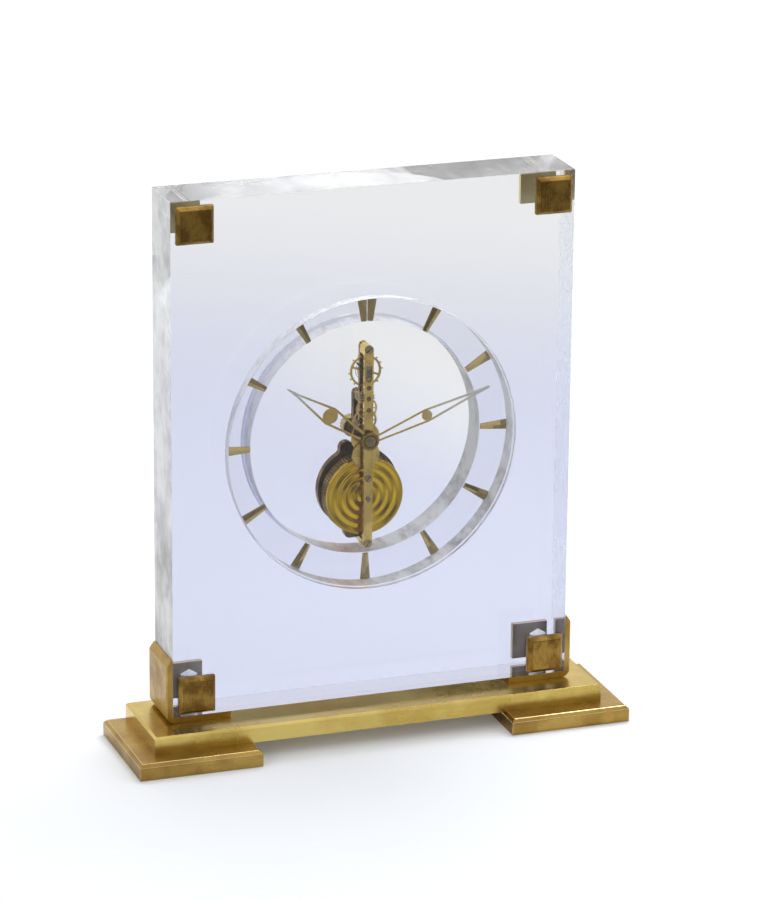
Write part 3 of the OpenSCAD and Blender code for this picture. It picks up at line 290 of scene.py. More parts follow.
class Tree:
    """The nodes of a finish, of the world or of the floor."""

    def __init__(self, owner):
        owner.use_nodes = True
        self.nodes, self.links = owner.node_tree.nodes, owner.node_tree.links
        self.nodes.clear()

    def node(self, kind, settings=None, values=None, output=0):
        """Adds a node, its settings before its sockets' values or links, and gives an output."""
        made = self.nodes.new(kind)
        for name, value in (settings or {}).items():
            setattr(made, name, value)
        for key, value in (values or {}).items():
            if isinstance(value, Socket):
                self.links.new(value.link, made.inputs[key])
            else:
                made.inputs[key].default_value = value
        return Socket(self, made.outputs[output]) if len(made.outputs) else made

    def outputs(self, first, names):
        """Several outputs of the node that one of its outputs belongs to."""
        return [Socket(self, first.link.node.outputs[name]) for name in names]

    def split(self, vector):
        """The three components of a vector."""
        return self.outputs(self.node("ShaderNodeSeparateXYZ", values={0: vector}), "XYZ")

    def rays(self, *names):
        """What the Light Path node says of a ray."""
        return self.outputs(self.node("ShaderNodeLightPath"), names)

    def place(self, scale=(1, 1, 1)):
        """A point's place on the clock in millimetres, scaled along each axis."""
        point = self.node("ShaderNodeTexCoord", output="Object")
        values = {"Vector": point, "Scale": [s / MM for s in scale]}
        return self.node("ShaderNodeMapping", {"vector_type": "POINT"}, values)

    def normal(self):
        """The three components of the surface's normal."""
        return self.split(self.node("ShaderNodeTexCoord", output="Normal"))

    def facing(self):
        """How far the surface faces along its nearest axis: 1 on a flat side, less on a chamfer."""
        across, along, up = (abs(part) for part in self.normal())
        return across.at_least(along).at_least(up)

    def step(self, value, low, high, start=0.0, end=1.0):
        """Goes smoothly from start to end while a value goes from low to high."""
        return self.node(
            "ShaderNodeMapRange",
            {"interpolation_type": "SMOOTHSTEP"},
            {"Value": value, "From Min": low, "From Max": high, "To Min": start, "To Max": end},
        )

    def fade(self, value, low, high, start=1.0):
        """Goes smoothly from start to nothing while a value goes from low to high."""
        return self.step(value, low, high, start, 0.0)

    def mix(self, share, a, b):
        """A colour between two, as opaque as both."""
        values = {0: share, 6: opaque(a), 7: opaque(b)}
        return self.node("ShaderNodeMix", {"data_type": "RGBA"}, values, output=2)

    def noise(self, place, scale=1.0, detail=2.0, rough=0.5):
        values = {"Vector": place, "Scale": scale, "Detail": detail, "Roughness": rough}
        return self.node("ShaderNodeTexNoise", values=values)

    def grain(self, size):
        """The fine lines of worked metal, closer along the axes where the size is larger."""
        return self.noise(self.place(size), detail=4, rough=0.7)

    def ridges(self):
        """The long marks that a cutter leaves in clear acrylic."""
        return self.noise(self.place((0.16, 0.05, 0.035)), detail=4, rough=0.65)

    def bump(self, height, depth, strength=1.0):
        """A normal tipped by a height that stands for a depth in millimetres."""
        values = {"Strength": strength, "Distance": depth * MM, "Height": height}
        return self.node("ShaderNodeBump", values=values, output="Normal")

    def finish(self, **values):
        """The surface of a Principled shader; each name is a socket's, with _ for spaces."""
        values = {name.replace("_", " "): value for name, value in values.items()}
        return self.node("ShaderNodeBsdfPrincipled", values=values)

    def blend(self, share, a, b):
        return self.node("ShaderNodeMixShader", values={0: share, 1: a, 2: b})

    def surface(self, shader, kind="ShaderNodeOutputMaterial"):
        self.node(kind, values={"Surface": shader})

    def metal(self, tone, roughness, relief, depth):
        """Makes the finish a metal with a relief of a depth in millimetres."""
        self.surface(
            self.finish(
                Base_Color=tone,
                Metallic=1.0,
                Roughness=roughness,
                Normal=self.bump(relief, depth),
            )
        )


FINISHES = {}


def finish(make):
    """A finish is made once, under its function's name, and given again after that."""

    def given():
        if make.__name__ not in FINISHES:
            material = bpy.data.materials.new(make.__name__)
            make(Tree(material))
            FINISHES[make.__name__] = material
        return FINISHES[make.__name__]

    return given


def clear(t, high, share, frost, tone, tip, roughness):
    """Clear acrylic that takes a share of its tint at each pass, frosted in places."""
    s = settings("clear")
    tint_low_shaded, tint_high = ([c**share for c in tint] for tint in (s.tint_low_shaded, s.tint_high))
    # Base colour: the share high runs from the shaded low tint to the lit high tint, painted shade
    # low down and painted light high up.
    polished = t.finish(
        Base_Color=t.mix(high, tint_low_shaded, tint_high),
        Roughness=roughness,
        IOR=ACRYLIC_IOR,
        Transmission_Weight=1.0,
        Normal=tip,
    )
    x, _, z = t.split(t.place())
    # Painted reflection: the brass movement's warm light on the walls below it.
    painted_brass_glow = t.fade(abs(x - GLOW_X), GLOW_HALF - 10, GLOW_HALF, 0.7)
    painted_brass_glow = painted_brass_glow * t.fade(z, GLOW_HIGH - 6, GLOW_HIGH) * t.step(z, GLOW_LOW, GLOW_LOW + 4)
    matt_tone = t.mix(painted_brass_glow, t.mix(tone, s.mark, s.frost), s.painted_brass_glow)
    matt = t.finish(Base_Color=matt_tone, Roughness=0.7, IOR=ACRYLIC_IOR)
    passing = t.node("ShaderNodeBsdfTransparent", values={"Color": opaque(s.tint_high)})
    shadow_ray = t.node("ShaderNodeLightPath", output="Is Shadow Ray")
    t.surface(t.blend(shadow_ray, t.blend(frost, polished, matt), passing))


@finish
def block_acrylic(t):
    """The block: painted lighter towards its top, frosted in its bores and hole, with marks on its
    sides.
    """
    x, y, z = t.split(t.place())
    across, along, _ = t.normal()
    out = distance(x, z - DIAL_Z)
    ridges = t.ridges()
    cloud = t.noise(t.place((0.05, 0.05, 0.05)), detail=3, rough=0.6)
    turned_wall = t.fade(abs(along), 0.3, 0.6) * t.fade(out, HOLE_REACH - 1, HOLE_REACH)
    side = t.step(abs(x), BLOCK_SIDE, BLOCK_SIDE + 0.3) * t.step(abs(across), 0.8, 0.95)
    top = t.step(z, BLOCK_TOP, BLOCK_TOP + 0.3)
    bore = t.fade(distance(abs(x) - BORE_X, y - BORE_Y), BORE_RADIUS, BORE_RADIUS + 0.2)
    bore = bore * t.step(z, BORE_LOW, BORE_LOW + 0.4) * t.fade(z, BORE_HIGH - 1, BORE_HIGH)
    # Painted highlight: the outer chamfers are frosted so that they show as white edge lines.
    chamfer = t.fade(t.facing(), 0.75, 0.93) * t.step(out, OUTSIDE_REACH, OUTSIDE_REACH + 1)
    # Seen from inside, the sides and the chamfers hide little of what lies behind them
    seen = 1.0 - 0.85 * t.node("ShaderNodeNewGeometry", output="Backfacing")
    frost = bore * 0.92 + turned_wall * t.step(ridges, 0.3, 0.6, 0.5, 0.85)
    frost = frost + side * seen * t.step(ridges, 0.3, 0.65, 0.5, 0.85)
    frost = frost + top * seen * 0.45 * cloud + chamfer * seen * 0.6
    relief = ridges * (turned_wall + side * 0.8 + top * 0.3)
    clear(
        t,
        # Painted light: the block turns lighter towards its top right.
        high=t.step(z + 0.15 * x, 120, 205),
        share=1.0,
        frost=frost.at_most(1.0),
        tone=t.step(ridges * 0.6 + cloud * 0.4, 0.36, 0.58),
        tip=t.bump(relief, 0.35, settings("clear").streaks),
        roughness=(0.25 * turned_wall + 0.12 * side * ridges + 0.04 * top).at_most(0.6),
    )


def cover(t, share):
    """A round cover with a painted highlight towards one o'clock, and a frosted rim."""
    x, _, z = t.split(t.place())
    rim = t.fade(abs(t.normal()[1]), 0.75, 0.93)
    ridges = t.ridges()
    clear(
        t,
        # Painted highlight: lighter towards one o'clock.
        high=t.step(z - DIAL_Z + 0.55 * x, -18, 42),
        share=share,
        frost=rim * 0.7,
        tone=t.step(ridges, 0.35, 0.6),
        tip=t.bump(ridges * rim, 0.1, 0.3),
        roughness=0.12 * rim,
    )


@finish
def front_acrylic(t):
    cover(t, share=0.12)


@finish
def rear_acrylic(t):
    cover(t, share=0.85)


def worked_brass(t, tones, roughness, grain, grain_size, mottle, edge_strength=0.8, depth=0.004):
    """Brass with slow patches of tarnish, a fine grain and a painted tone on its rounded edges.

    The tones are those of the clean metal, the tarnished metal and the edges. The edge tone is
    mostly a painted highlight with a little real wear; on the front squares it is darker.
    Mottle is how close the patches lie, edge_strength how strongly the edge tone shows, and depth
    that of the relief.
    """
    clean, dark, edge_tone = tones
    spot = t.place()
    patches = t.step(t.noise(spot, mottle, detail=4, rough=0.6), 0.38, 0.66)
    specks = t.noise(spot, 1.7, detail=3, rough=0.65)
    lines = t.grain(grain_size) * grain
    facing = t.facing()
    # Painted highlight along the rounding beside each flat face, broken by specks; a little of it
    # stands for real wear.
    edges = t.step(facing, 0.84, 0.88) * t.fade(facing, 0.93, 0.985, edge_strength)
    edges = edges * t.step(specks, 0.2, 0.5)
    shade = patches * 0.55 + lines + t.step(specks, 0.55, 0.75) * 0.25
    t.metal(
        t.mix(edges, t.mix(shade.at_most(1.0), clean, dark), edge_tone),
        (roughness + 0.10 * patches + 0.12 * lines - 0.05 * edges).at_least(0.04),
        lines + 0.4 * specks,
        depth,
    )


@finish
def plinth_brass(t):
    s = settings("brass")
    tones = s.plinth, s.plinth_dark, s.edge_tone
    worked_brass(t, tones, 0.16, grain=0.35, grain_size=(0.04, 1.6, 1.6), mottle=0.035)


@finish
def foot_brass(t):
    s = settings("brass")
    tones = s.foot, s.foot_dark, s.edge_tone
    worked_brass(t, tones, 0.22, grain=0.5, grain_size=(0.05, 1.4, 1.4), mottle=0.05)


@finish
def bracket_brass(t):
    s = settings("brass")
    tones = s.foot, s.foot_dark, s.edge_tone
    worked_brass(t, tones, 0.27, grain=0.6, grain_size=(1.5, 1.5, 0.25), mottle=0.09, edge_strength=0.6)


@finish
def square_brass(t):
    """Aged brass of the front squares, darker along the rounding of its edges."""
    s = settings("brass")
    tones = s.square, s.square_dark, s.grime_and_shade
    size = (2.2, 2.2, 0.3)
    worked_brass(t, tones, 0.33, grain=0.9, grain_size=size, mottle=0.12, edge_strength=0.85, depth=0.010)


@finish
def rear_brass(t):
    """Brass of the rear squares, with painted light that makes it brighter the higher it is."""
    s = settings("brass")
    z = t.split(t.place())[2]
    lines = t.grain((2, 2, 0.3))
    # Painted light: brighter the higher the point.
    base = t.mix(t.step(z, 60, 150), s.rear_dark, s.rear)
    t.metal(t.mix(lines * 0.4, base, s.square), 0.35, lines, 0.006)


@finish
def marker_brass(t):
    s = settings("brass")
    tones = s.marker, s.foot_dark, s.edge_tone
    worked_brass(t, tones, 0.08, grain=0.3, grain_size=(0.8, 0.8, 0.8), mottle=0.09, edge_strength=0.3)


@finish
def gilt(t):
    """Gilt of the bars and pillars, with its grain along their length."""
    m = settings("movement")
    tones = m.gilt, m.satin, settings("brass").edge_tone
    size = (2.5, 2.5, 0.12)
    worked_brass(t, tones, 0.13, grain=0.3, grain_size=size, mottle=0.1, edge_strength=0.5, depth=0.002)


@finish
def satin_brass(t):
    m = settings("movement")
    tones = m.satin, settings("brass").square_dark, m.gilt
    size = (1.2, 1.2, 1.2)
    worked_brass(t, tones, 0.28, grain=0.55, grain_size=size, mottle=0.2, edge_strength=0.5, depth=0.006)


@finish
def plate_bronze(t):
    m = settings("movement")
    tones = m.bronze, settings("brass").grime_and_shade, m.satin
    size = (1.2, 1.2, 1.2)
    worked_brass(t, tones, 0.3, grain=0.5, grain_size=size, mottle=0.15, edge_strength=0.6, depth=0.006)


@finish
def wheel_gilt(t):
    m = settings("movement")
    tones = m.gilt, m.satin, settings("brass").edge_tone
    size = (3, 3, 3)
    worked_brass(t, tones, 0.2, grain=0.4, grain_size=size, mottle=0.15, edge_strength=0.3, depth=0.001)


@finish
def cover_brass(t):
    """Waved cover of the barrel: fine turned rings round its centre."""
    m = settings("movement")
    x, _, z = t.split(t.place())
    values = {"W": distance(x, z - BARREL_Z), "Scale": 7.0, "Detail": 3.0}
    rings = t.node("ShaderNodeTexNoise", {"noise_dimensions": "1D"}, values)
    patches = t.step(t.noise(t.place(), 0.2, detail=3, rough=0.6), 0.35, 0.7)
    tone = t.mix(patches * 0.2 + rings * 0.12, m.cover, m.satin)
    t.metal(tone, 0.13 + 0.04 * patches + 0.04 * rings, rings, 0.001)


@finish
def hand_gilt(t):
    """Gilt of the hands, paler away from the dark hub, with painted shade in the hub's groove."""
    m = settings("movement")
    x, _, z = t.split(t.place())
    out = distance(x, z - DIAL_Z)
    lines = t.grain((1.5, 1.5, 1.5))
    arm = t.mix(t.step(out + lines * 6, 22, 38), t.mix(lines, m.gilt, m.satin), m.hand_tip)
    # Painted shade: the turned groove in the hub is darkened.
    groove = t.step(abs(out - GROOVE_RADIUS), 0.15, 0.3)
    hub = t.mix(groove, settings("brass").grime_and_shade, m.hub)
    tone = t.mix(t.step(out, HUB_RADIUS, HUB_RADIUS + HUB_FADE), hub, arm)
    t.metal(tone, 0.2 + 0.12 * lines, lines, 0.002)


def worked_steel(t, level, roughness):
    """Steel whose brightness is a share of the steel colour's."""
    light = [c * level for c in settings("movement").steel]
    lines = t.grain((2, 2, 2))
    t.metal(t.mix(lines, light, [c * 0.6 for c in light]), roughness + 0.15 * lines, lines, 0.002)


@finish
def steel(t):
    worked_steel(t, 1.0, 0.16)


@finish
def screw_steel(t):
    worked_steel(t, 0.7, 0.22)


@finish
def spring_steel(t):
    worked_steel(t, 0.6, 0.2)


def slotted(t, front):
    """The head of a screw whose flat front is at a depth: the slot behind it is painted dark as
    shade.
    """
    m = settings("movement")
    y = t.split(t.place())[1]
    lines = t.grain((2, 2, 2))
    # Painted shade: the slot behind the head's front is darkened.
    slot = t.step(y, front + 0.05, front + 0.12)
    tone = t.mix(slot, t.mix(lines, m.steel, m.satin), settings("brass").grime_and_shade)
    t.metal(tone, 0.2 + 0.15 * lines, lines, 0.002)


@finish
def bar_screw(t):
    slotted(t, BAR_SCREW_FRONT)


@finish
def cap_screw(t):
    slotted(t, CAP_SCREW_FRONT)


@finish
def ruby(t):
    """Dark polished ruby, a little brighter in places."""
    dark = settings("movement").ruby
    depth = t.noise(t.place((2, 2, 2)))
    tone = t.mix(depth, dark, [c * 1.8 for c in dark])
    t.surface(t.finish(Base_Color=tone, Roughness=0.25 + 0.1 * depth, IOR=RUBY_IOR))


# ---------------------------------------------------------------- pieces


def give(piece, material):
    """Puts one finish on a whole piece."""
    if piece.data.materials:
        for place in piece.material_slots:
            place.material = material
    else:
        piece.data.materials.append(material)


def keep(finish_of, *nodes):
    """Keeps pieces of the frame as they are, with a finish."""
    for node in nodes:
        give(frame["nodes"][node], finish_of())


def stand_for(piece, node, finish_of):
    """Lets a new piece take the place of a piece of the frame."""
    give(piece, finish_of())
    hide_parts(node)
    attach(piece, BODY[node])


def add_piece(name, bm, sharp=35):
    """Makes an object of a mesh, smooth except where it bends by more than some degrees."""
    mesh = bpy.data.meshes.new(name)
    bm.to_mesh(mesh)
    bm.free()
    mesh.shade_smooth()
    mesh.set_sharp_from_angle(angle=radians(sharp))
    piece = bpy.data.objects.new(name, mesh)
    bpy.context.scene.collection.objects.link(piece)
    return piece


def rounded(node, finish_of, width, segments=2, gap=0.0):
    """Replaces a piece of the frame by a finer copy, with its sharp edges rounded.

    The copy can be drawn in by a gap in millimetres, to stay clear of what it lies on.
    """
    bm = bmesh.new()
    bm.from_mesh(frame["nodes"][node].data)
    bmesh.ops.remove_doubles(bm, verts=bm.verts, dist=WELD)
    bmesh.ops.dissolve_limit(bm, angle_limit=FLAT_ANGLE, verts=bm.verts, edges=bm.edges)
    inner = [edge for edge in bm.edges if len(edge.link_faces) == 2]
    bmesh.ops.bevel(
        bm,
        geom=[edge for edge in inner if edge.calc_face_angle(0) > ROUNDED_ANGLE],
        offset=width,
        offset_type="OFFSET",
        segments=segments,
        profile=0.5,
        affect="EDGES",
        clamp_overlap=True,
        material=-1,
    )
    piece = add_piece(node + "_finished", bm)
    if gap:
        modifier = piece.modifiers.new("Clear of its seat", "DISPLACE")
        modifier.strength, modifier.mid_level = -gap * MM, 0.0
    piece.modifiers.new("Even faces", "WEIGHTED_NORMAL").keep_sharp = True
    stand_for(piece, node, finish_of)


def turned(name, profile, height):
    """A turned piece: radii and depths in millimetres, spun about a line along Y at a height."""
    bm = bmesh.new()
    points = [bm.verts.new((r * MM, y * MM, height * MM)) for r, y in profile]
    for a, b in zip(points, points[1:]):
        bm.edges.new((a, b))
    bmesh.ops.spin(
        bm,
        geom=bm.verts[:] + bm.edges[:],
        cent=(0, 0, height * MM),
        axis=(0, 1, 0),
        angle=2 * pi,
        steps=TURNED_STEPS,
        use_merge=True,
        use_duplicate=False,
    )
    bmesh.ops.remove_doubles(bm, verts=bm.verts, dist=WELD)
    bmesh.ops.recalc_face_normals(bm, faces=bm.faces)
    return add_piece(name, bm, sharp=40)


def coiled(name, inner, outer, curls, wire, depth, height):
    """A flat spiral of round wire about a line along Y; its outer end is at the top."""
    last = round(curls * CURL_STEPS)
    curve = bpy.data.curves.new(name, "CURVE")
    curve.dimensions, curve.bevel_depth, curve.bevel_resolution = "3D", wire / 2, 2
    curve.use_fill_caps = True
    spline = curve.splines.new("POLY")
    spline.points.add(last)
    for i, point in enumerate(spline.points):
        out = inner + (outer - inner) * i / last
        turn = 2 * pi * curls * (i / last - 1)
        point.co = (out * sin(turn), depth, height + out * cos(turn), 1)
    path = bpy.data.objects.new(name, curve)
    mesh = bpy.data.meshes.new_from_object(path)
    bpy.data.objects.remove(path)
    mesh.shade_smooth()
    spring = bpy.data.objects.new(name, mesh)
    bpy.context.scene.collection.objects.link(spring)
    return spring


class Step:
    """What every building step of the clock shares."""

    bl_options = {"REGISTER", "UNDO"}


class DESKCLOCK_OT_clear_block(Step, bpy.types.Operator):
    """Build the clear block and its two round covers"""

    bl_idname = "desk_clock.clear_block"
    bl_label = "Clear Block"

    def execute(self, context):
        s = settings("clear")
        rounded("clear_block", block_acrylic, s.edge)
        rounded("front_cover", front_acrylic, s.cover_edge, gap=COVER_GAP)
        rounded("rear_cover", rear_acrylic, s.cover_edge, gap=COVER_GAP)
        return {"FINISHED"}


class DESKCLOCK_OT_base(Step, bpy.types.Operator):
    """Build the plinth, its two feet and their screws"""

    bl_idname = "desk_clock.base"
    bl_label = "Base"

    def execute(self, context):
        edge = settings("brass").edge
        rounded("plinth_plate", plinth_brass, edge, segments=3)
        for node in ("left_foot", "right_foot"):
            rounded(node, foot_brass, edge, segments=3)
        keep(screw_steel, "base_screws", "foot_screws")
        return {"FINISHED"}


class DESKCLOCK_OT_brackets(Step, bpy.types.Operator):
    """Build the two angle brackets that hold the block"""

    bl_idname = "desk_clock.brackets"
    bl_label = "Brackets"

    def execute(self, context):
        for node in ("left_bracket", "right_bracket"):
            rounded(node, bracket_brass, settings("brass").edge, segments=3, gap=SEAT_GAP)
        return {"FINISHED"}


class DESKCLOCK_OT_squares(Step, bpy.types.Operator):
    """Build the bevelled squares on the block's corners, front and back"""

    bl_idname = "desk_clock.squares"
    bl_label = "Corner Squares"

    def execute(self, context):
        edge = settings("brass").edge
        for corner in ("top_left", "top_right", "bottom_left", "bottom_right"):
            rounded(corner + "_square", square_brass, edge, segments=3, gap=SEAT_GAP)
        rounded("rear_squares", rear_brass, edge, segments=3, gap=SEAT_GAP)
        return {"FINISHED"}


class DESKCLOCK_OT_markers(Step, bpy.types.Operator):
    """Build the thirteen hour markers"""

    bl_idname = "desk_clock.markers"
    bl_label = "Hour Markers"

    def execute(self, context):
        rounded("hour_markers", marker_brass, settings("brass").marker_edge, gap=SEAT_GAP)
        return {"FINISHED"}


class DESKCLOCK_OT_bars(Step, bpy.types.Operator):
    """Build the two front bars, the pillars and the plates behind them"""

    bl_idname = "desk_clock.bars"
    bl_label = "Bars and Plates"

    def execute(self, context):
        edge = settings("movement").edge
        for node in ("train_bridge", "barrel_bridge", "top_spacer", "bottom_pillar"):
            rounded(node, gilt, edge)
        for node in ("balance_bridge", "middle_pillars", "escapement_bridge"):
            rounded(node, satin_brass, edge)
        rounded("rear_plate", plate_bronze, edge)
        return {"FINISHED"}


class DESKCLOCK_OT_screws(Step, bpy.types.Operator):
    """Build the screws, jewels, cap and boss of the movement"""

    bl_idname = "desk_clock.screws"
    bl_label = "Screws and Jewels"

    def execute(self, context):
        edge = settings("movement").fine_edge
        rounded("bridge_screws", bar_screw, edge)
        rounded("cap_screws", cap_screw, edge)
        for node in ("mounting_screws", "balance_cap"):
            rounded(node, screw_steel, edge)
        rounded("index_boss", gilt, edge)
        keep(ruby, "front_jewels", "rear_jewels")
        keep(steel, "click_screw", "minute_wheel_stud")
        return {"FINISHED"}


class DESKCLOCK_OT_barrel(Step, bpy.types.Operator):
    """Build the barrel with its waved cover, its spring and the ratchet"""

    bl_idname = "desk_clock.barrel"
    bl_label = "Barrel"

    def execute(self, context):
        s = settings("movement")
        pitch, depth = s.wave_pitch / MM, s.wave_depth / MM
        low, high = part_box("barrel_cover")
        edge, front, back = high.x / MM, low.y / MM, high.y / MM
        crest, face, flange = front + COVER_CREST, front + COVER_FACE, back - COVER_FLANGE
        waves, wave_edge = [], edge - COVER_LAND
        for i in range(WAVE_STEPS + 1):
            r = COVER_BORE + (wave_edge - COVER_BORE) * i / WAVE_STEPS
            waves.append((r, crest + depth / 2 * (1 - cos(2 * pi * (r - wave_edge) / pitch))))
        rim = [(wave_edge, face), (edge - COVER_BEVEL, face), (edge, face + COVER_BEVEL)]
        rim += [(edge, flange), (COVER_BOSS, flange), (COVER_BOSS, back), (COVER_BORE, back)]
        piece = turned("barrel_cover_finished", waves + rim + waves[:1], BARREL_Z)
        stand_for(piece, "barrel_cover", cover_brass)
        keep(satin_brass, "barrel")
        keep(spring_steel, "mainspring", "click_spring")
        keep(steel, "barrel_arbor", "ratchet_wheel", "click")
        return {"FINISHED"}


class DESKCLOCK_OT_train(Step, bpy.types.Operator):
    """Finish the wheels of the train and of the motion work"""

    bl_idname = "desk_clock.train"
    bl_label = "Wheel Train"

    def execute(self, context):
        for wheel in ("intermediate", "centre", "third", "fourth", "minute"):
            keep(wheel_gilt, wheel + "_wheel")
        return {"FINISHED"}


class DESKCLOCK_OT_escapement(Step, bpy.types.Operator):
    """Finish the escape wheel, the pallet fork and its stones"""

    bl_idname = "desk_clock.escapement"
    bl_label = "Escapement"

    def execute(self, context):
        keep(steel, "escape_wheel", "escape_arbor")
        keep(wheel_gilt, "pallet_fork")
        keep(ruby, "pallet_stones")
        return {"FINISHED"}


class DESKCLOCK_OT_balance(Step, bpy.types.Operator):
    """Build the balance, its hairspring and the regulator"""

    bl_idname = "desk_clock.balance"
    bl_label = "Balance"

    def execute(self, context):
        s = settings("movement")
        rounded("balance_wheel", wheel_gilt, s.fine_edge)
        rounded("balance_screws", wheel_gilt, s.fine_edge / 2)
        keep(steel, "balance_staff", "regulator", "hairspring_stud")
        low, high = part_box("hairspring")
        spring = coiled(
            "hairspring_finished",
            inner=SPRING_INNER * MM,
            outer=SPRING_OUTER * MM,
            curls=s.spring_curls,
            wire=s.spring_wire,
            depth=(low.y + high.y) / 2,
            height=BALANCE_Z * MM,
        )
        stand_for(spring, "hairspring", spring_steel)
        return {"FINISHED"}


class DESKCLOCK_OT_hands(Step, bpy.types.Operator):
    """Build the two hands and the arbor that carries them"""

    bl_idname = "desk_clock.hands"
    bl_label = "Hands"

    def execute(self, context):
        for node in ("minute_hand", "hour_hand"):
            rounded(node, hand_gilt, settings("movement").fine_edge)
        keep(steel, "centre_arbor")
        return {"FINISHED"}


class DESKCLOCK_OT_winding(Step, bpy.types.Operator):
    """Build the winding key and the setting knob on the back"""

    bl_idname = "desk_clock.winding"
    bl_label = "Key and Knob"

    def execute(self, context):
        for node in ("winding_key", "setting_knob"):
            rounded(node, plinth_brass, settings("movement").edge)
        return {"FINISHED"}


# ---------------------------------------------------------------- floor, lamps and camera

FLOOR_HALF = 4.0  # metres from the floor's middle to its edge
FLOOR_DROP = 0.05  # millimetres of air under the feet
FLOOR_AHEAD = (-260, -40)  # depths between which the mirrored floor turns from dim to full
FLOOR_HALO = (130, 600)  # millimetres from the clock between which the floor turns white
FLOOR_TINT = (0.95, 0.97, 1.0)
FLOOR_WHITE = 1.08  # strength of the floor's own white
PAPER_LOW = (0.78, 0.78, 0.80)  # what metal behind the acrylic mirrors from below
LOOK_AT = (0, 0, 0.1)  # the point that the lamps light, in metres
SENSOR = 36  # the camera's frame in millimetres

# Each softbox: its name, its place and its two sides in metres, its power in watts
SOFTBOXES = (
    ("top_softbox", (0.35, 0.42, 1.0), (1.0, 0.5), 8.5),
    ("left_softbox", (-1.2, -0.5, 0.8), (0.8, 0.8), 3.5),
    ("front_softbox", (0.45, -1.4, 0.6), (1.2, 0.3), 1.0),
    ("right_softbox", (1.3, -0.2, 0.6), (0.4, 0.9), 2.0),
)


def lay_floor(s):
    """A pale floor: white by itself farther from the clock, and shaded by the clock near it."""
    bm = bmesh.new()
    bmesh.ops.create_grid(bm, x_segments=1, y_segments=1, size=FLOOR_HALF)
    bmesh.ops.translate(bm, verts=bm.verts, vec=(0, 0, -FLOOR_DROP * MM))
    floor = add_piece("floor", bm)
    material = bpy.data.materials.new("floor")
    t = Tree(material)
    direct, through, mirrored = t.rays("Is Camera Ray", "Is Transmission Ray", "Glossy Depth")
    x, y, _ = t.split(t.place())
    ahead = t.step(y, *FLOOR_AHEAD, s.ahead, 1.0)
    lifted = t.step(distance(x, y), *FLOOR_HALO, s.floor_light, 1.0)
    cloud = t.noise(t.place((0.01, 0.01, 0.01)), detail=3)
    paper = (0.94 + 0.02 * cloud) * (1.0 - mirrored.at_most(1.0) * (1.0 - ahead))
    tone = t.mix(paper, BLACK, FLOOR_TINT)
    pale = t.finish(Base_Color=tone, Roughness=0.9, Specular_IOR_Level=0.0)
    values = {"Color": opaque(WHITE), "Strength": FLOOR_WHITE}
    own_white = t.node("ShaderNodeEmission", values=values)
    seen = (direct + through * (1.0 - mirrored)).at_most(1.0)
    t.surface(t.blend(seen * lifted, pale, own_white))
    give(floor, material)


def light_surround(s):
    """Even light from all round; metal mirrors a room that is darker low and in front."""
    world = bpy.data.worlds.new("surround")
    bpy.context.scene.world = world
    t = Tree(world)

    def light(tone, strength=1.0):
        values = {"Color": opaque(tone), "Strength": strength}
        return t.node("ShaderNodeBackground", values=values)

    x, y, z = t.split(t.node("ShaderNodeTexCoord", output="Generated"))
    direct, glossy, through, mirrored, passed = t.rays(
        "Is Camera Ray",
        "Is Glossy Ray",
        "Is Transmission Ray",
        "Glossy Depth",
        "Transmission Depth",
    )
    # Metal behind the acrylic mirrors light that has passed more than two clear faces
    behind = mirrored.at_most(1.0) * t.step(passed, 2.4, 2.6)
    room = t.step(z * 0.9 + y * 0.6 - abs(x) * 0.15, -0.5, 0.45, 0.1, 1.0)
    lit = light(t.mix(room, BLACK, WHITE))
    shining = light(t.mix(t.step(z + y * 0.5, -0.6, 0.5), PAPER_LOW, WHITE))
    level = light(WHITE, s.surround)
    around = t.blend(through, t.blend(glossy, level, lit), t.blend(behind, shining, lit))
    t.surface(t.blend(direct, around, light(WHITE)), "ShaderNodeOutputWorld")


def softbox(name, place, size, power):
    """An area lamp that looks at the clock."""
    lamp = bpy.data.lights.new(name, "AREA")
    lamp.shape, lamp.size, lamp.size_y, lamp.energy = "RECTANGLE", *size, power
    made = bpy.data.objects.new(name, lamp)
    turn = (Vector(place) - Vector(LOOK_AT)).to_track_quat("Z", "Y").to_matrix().to_4x4()
    made.matrix_world = Matrix.Translation(place) @ turn
    bpy.context.scene.collection.objects.link(made)


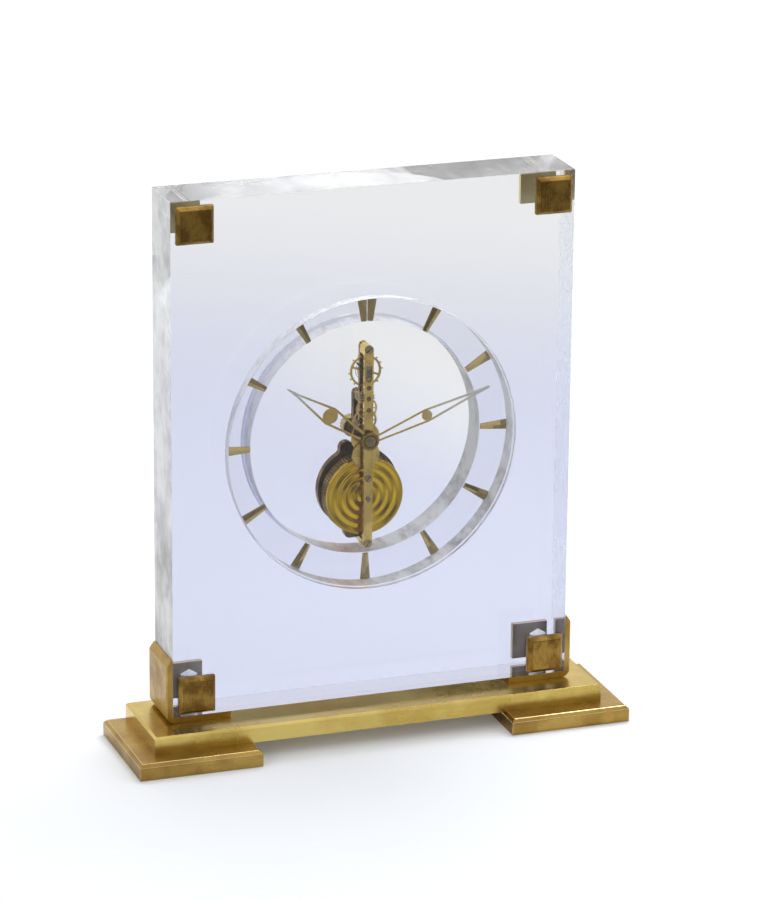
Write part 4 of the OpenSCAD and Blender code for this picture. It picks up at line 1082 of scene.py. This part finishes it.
def place_camera(s):
    """A camera that looks at its target from an azimuth, an elevation and a distance."""
    lens = bpy.data.cameras.new("camera")
    lens.lens, lens.sensor_width, lens.sensor_fit = s.lens, SENSOR, "AUTO"
    camera = bpy.data.objects.new("camera", lens)
    turn = Matrix.Rotation(s.azimuth, 4, "Z") @ Matrix.Rotation(pi / 2 - s.elevation, 4, "X")
    back = Matrix.Translation((0, 0, s.distance)) @ Matrix.Rotation(s.roll, 4, "Z")
    camera.matrix_world = Matrix.Translation(s.target) @ turn @ back
    bpy.context.scene.collection.objects.link(camera)
    bpy.context.scene.camera = camera


class DESKCLOCK_OT_stage(Step, bpy.types.Operator):
    """Set up the floor, the lamps, the surround and the camera"""

    bl_idname = "desk_clock.stage"
    bl_label = "Stage"

    def execute(self, context):
        s = settings("stage")
        lay_floor(s)
        light_surround(s)
        for lamp in SOFTBOXES:
            softbox(*lamp)
        place_camera(s)
        context.scene.view_settings.view_transform = "Standard"
        return {"FINISHED"}


STEPS = (
    DESKCLOCK_OT_stage,
    DESKCLOCK_OT_clear_block,
    DESKCLOCK_OT_base,
    DESKCLOCK_OT_brackets,
    DESKCLOCK_OT_squares,
    DESKCLOCK_OT_markers,
    DESKCLOCK_OT_bars,
    DESKCLOCK_OT_screws,
    DESKCLOCK_OT_barrel,
    DESKCLOCK_OT_train,
    DESKCLOCK_OT_escapement,
    DESKCLOCK_OT_balance,
    DESKCLOCK_OT_hands,
    DESKCLOCK_OT_winding,
)


class DESKCLOCK_PT_panel(bpy.types.Panel):
    """Lists the clock's settings and building steps"""

    bl_idname = "DESKCLOCK_PT_panel"
    bl_label = "Desk Clock"
    bl_space_type = "VIEW_3D"
    bl_region_type = "UI"
    bl_category = "Desk Clock"

    def draw(self, context):
        for group, kind in GROUPS.items():
            box = self.layout.box()
            box.label(text=kind.__doc__)
            for name in kind.__annotations__:
                box.prop(settings(group), name)
        for step in STEPS:
            self.layout.operator(step.bl_idname)


CLASSES = (*GROUPS.values(), *STEPS, DESKCLOCK_PT_panel)


def register():
    for kind in CLASSES:
        bpy.utils.register_class(kind)
    for group, kind in GROUPS.items():
        setattr(bpy.types.Scene, "desk_clock_" + group, PointerProperty(type=kind))


def unregister():
    for group in GROUPS:
        delattr(bpy.types.Scene, "desk_clock_" + group)
    for kind in reversed(CLASSES):
        bpy.utils.unregister_class(kind)


def main():
    """Builds the clock step by step."""
    register()
    for step in STEPS:
        getattr(bpy.ops.desk_clock, step.bl_idname.split(".")[1])()


if __name__ == "__main__":
    main()
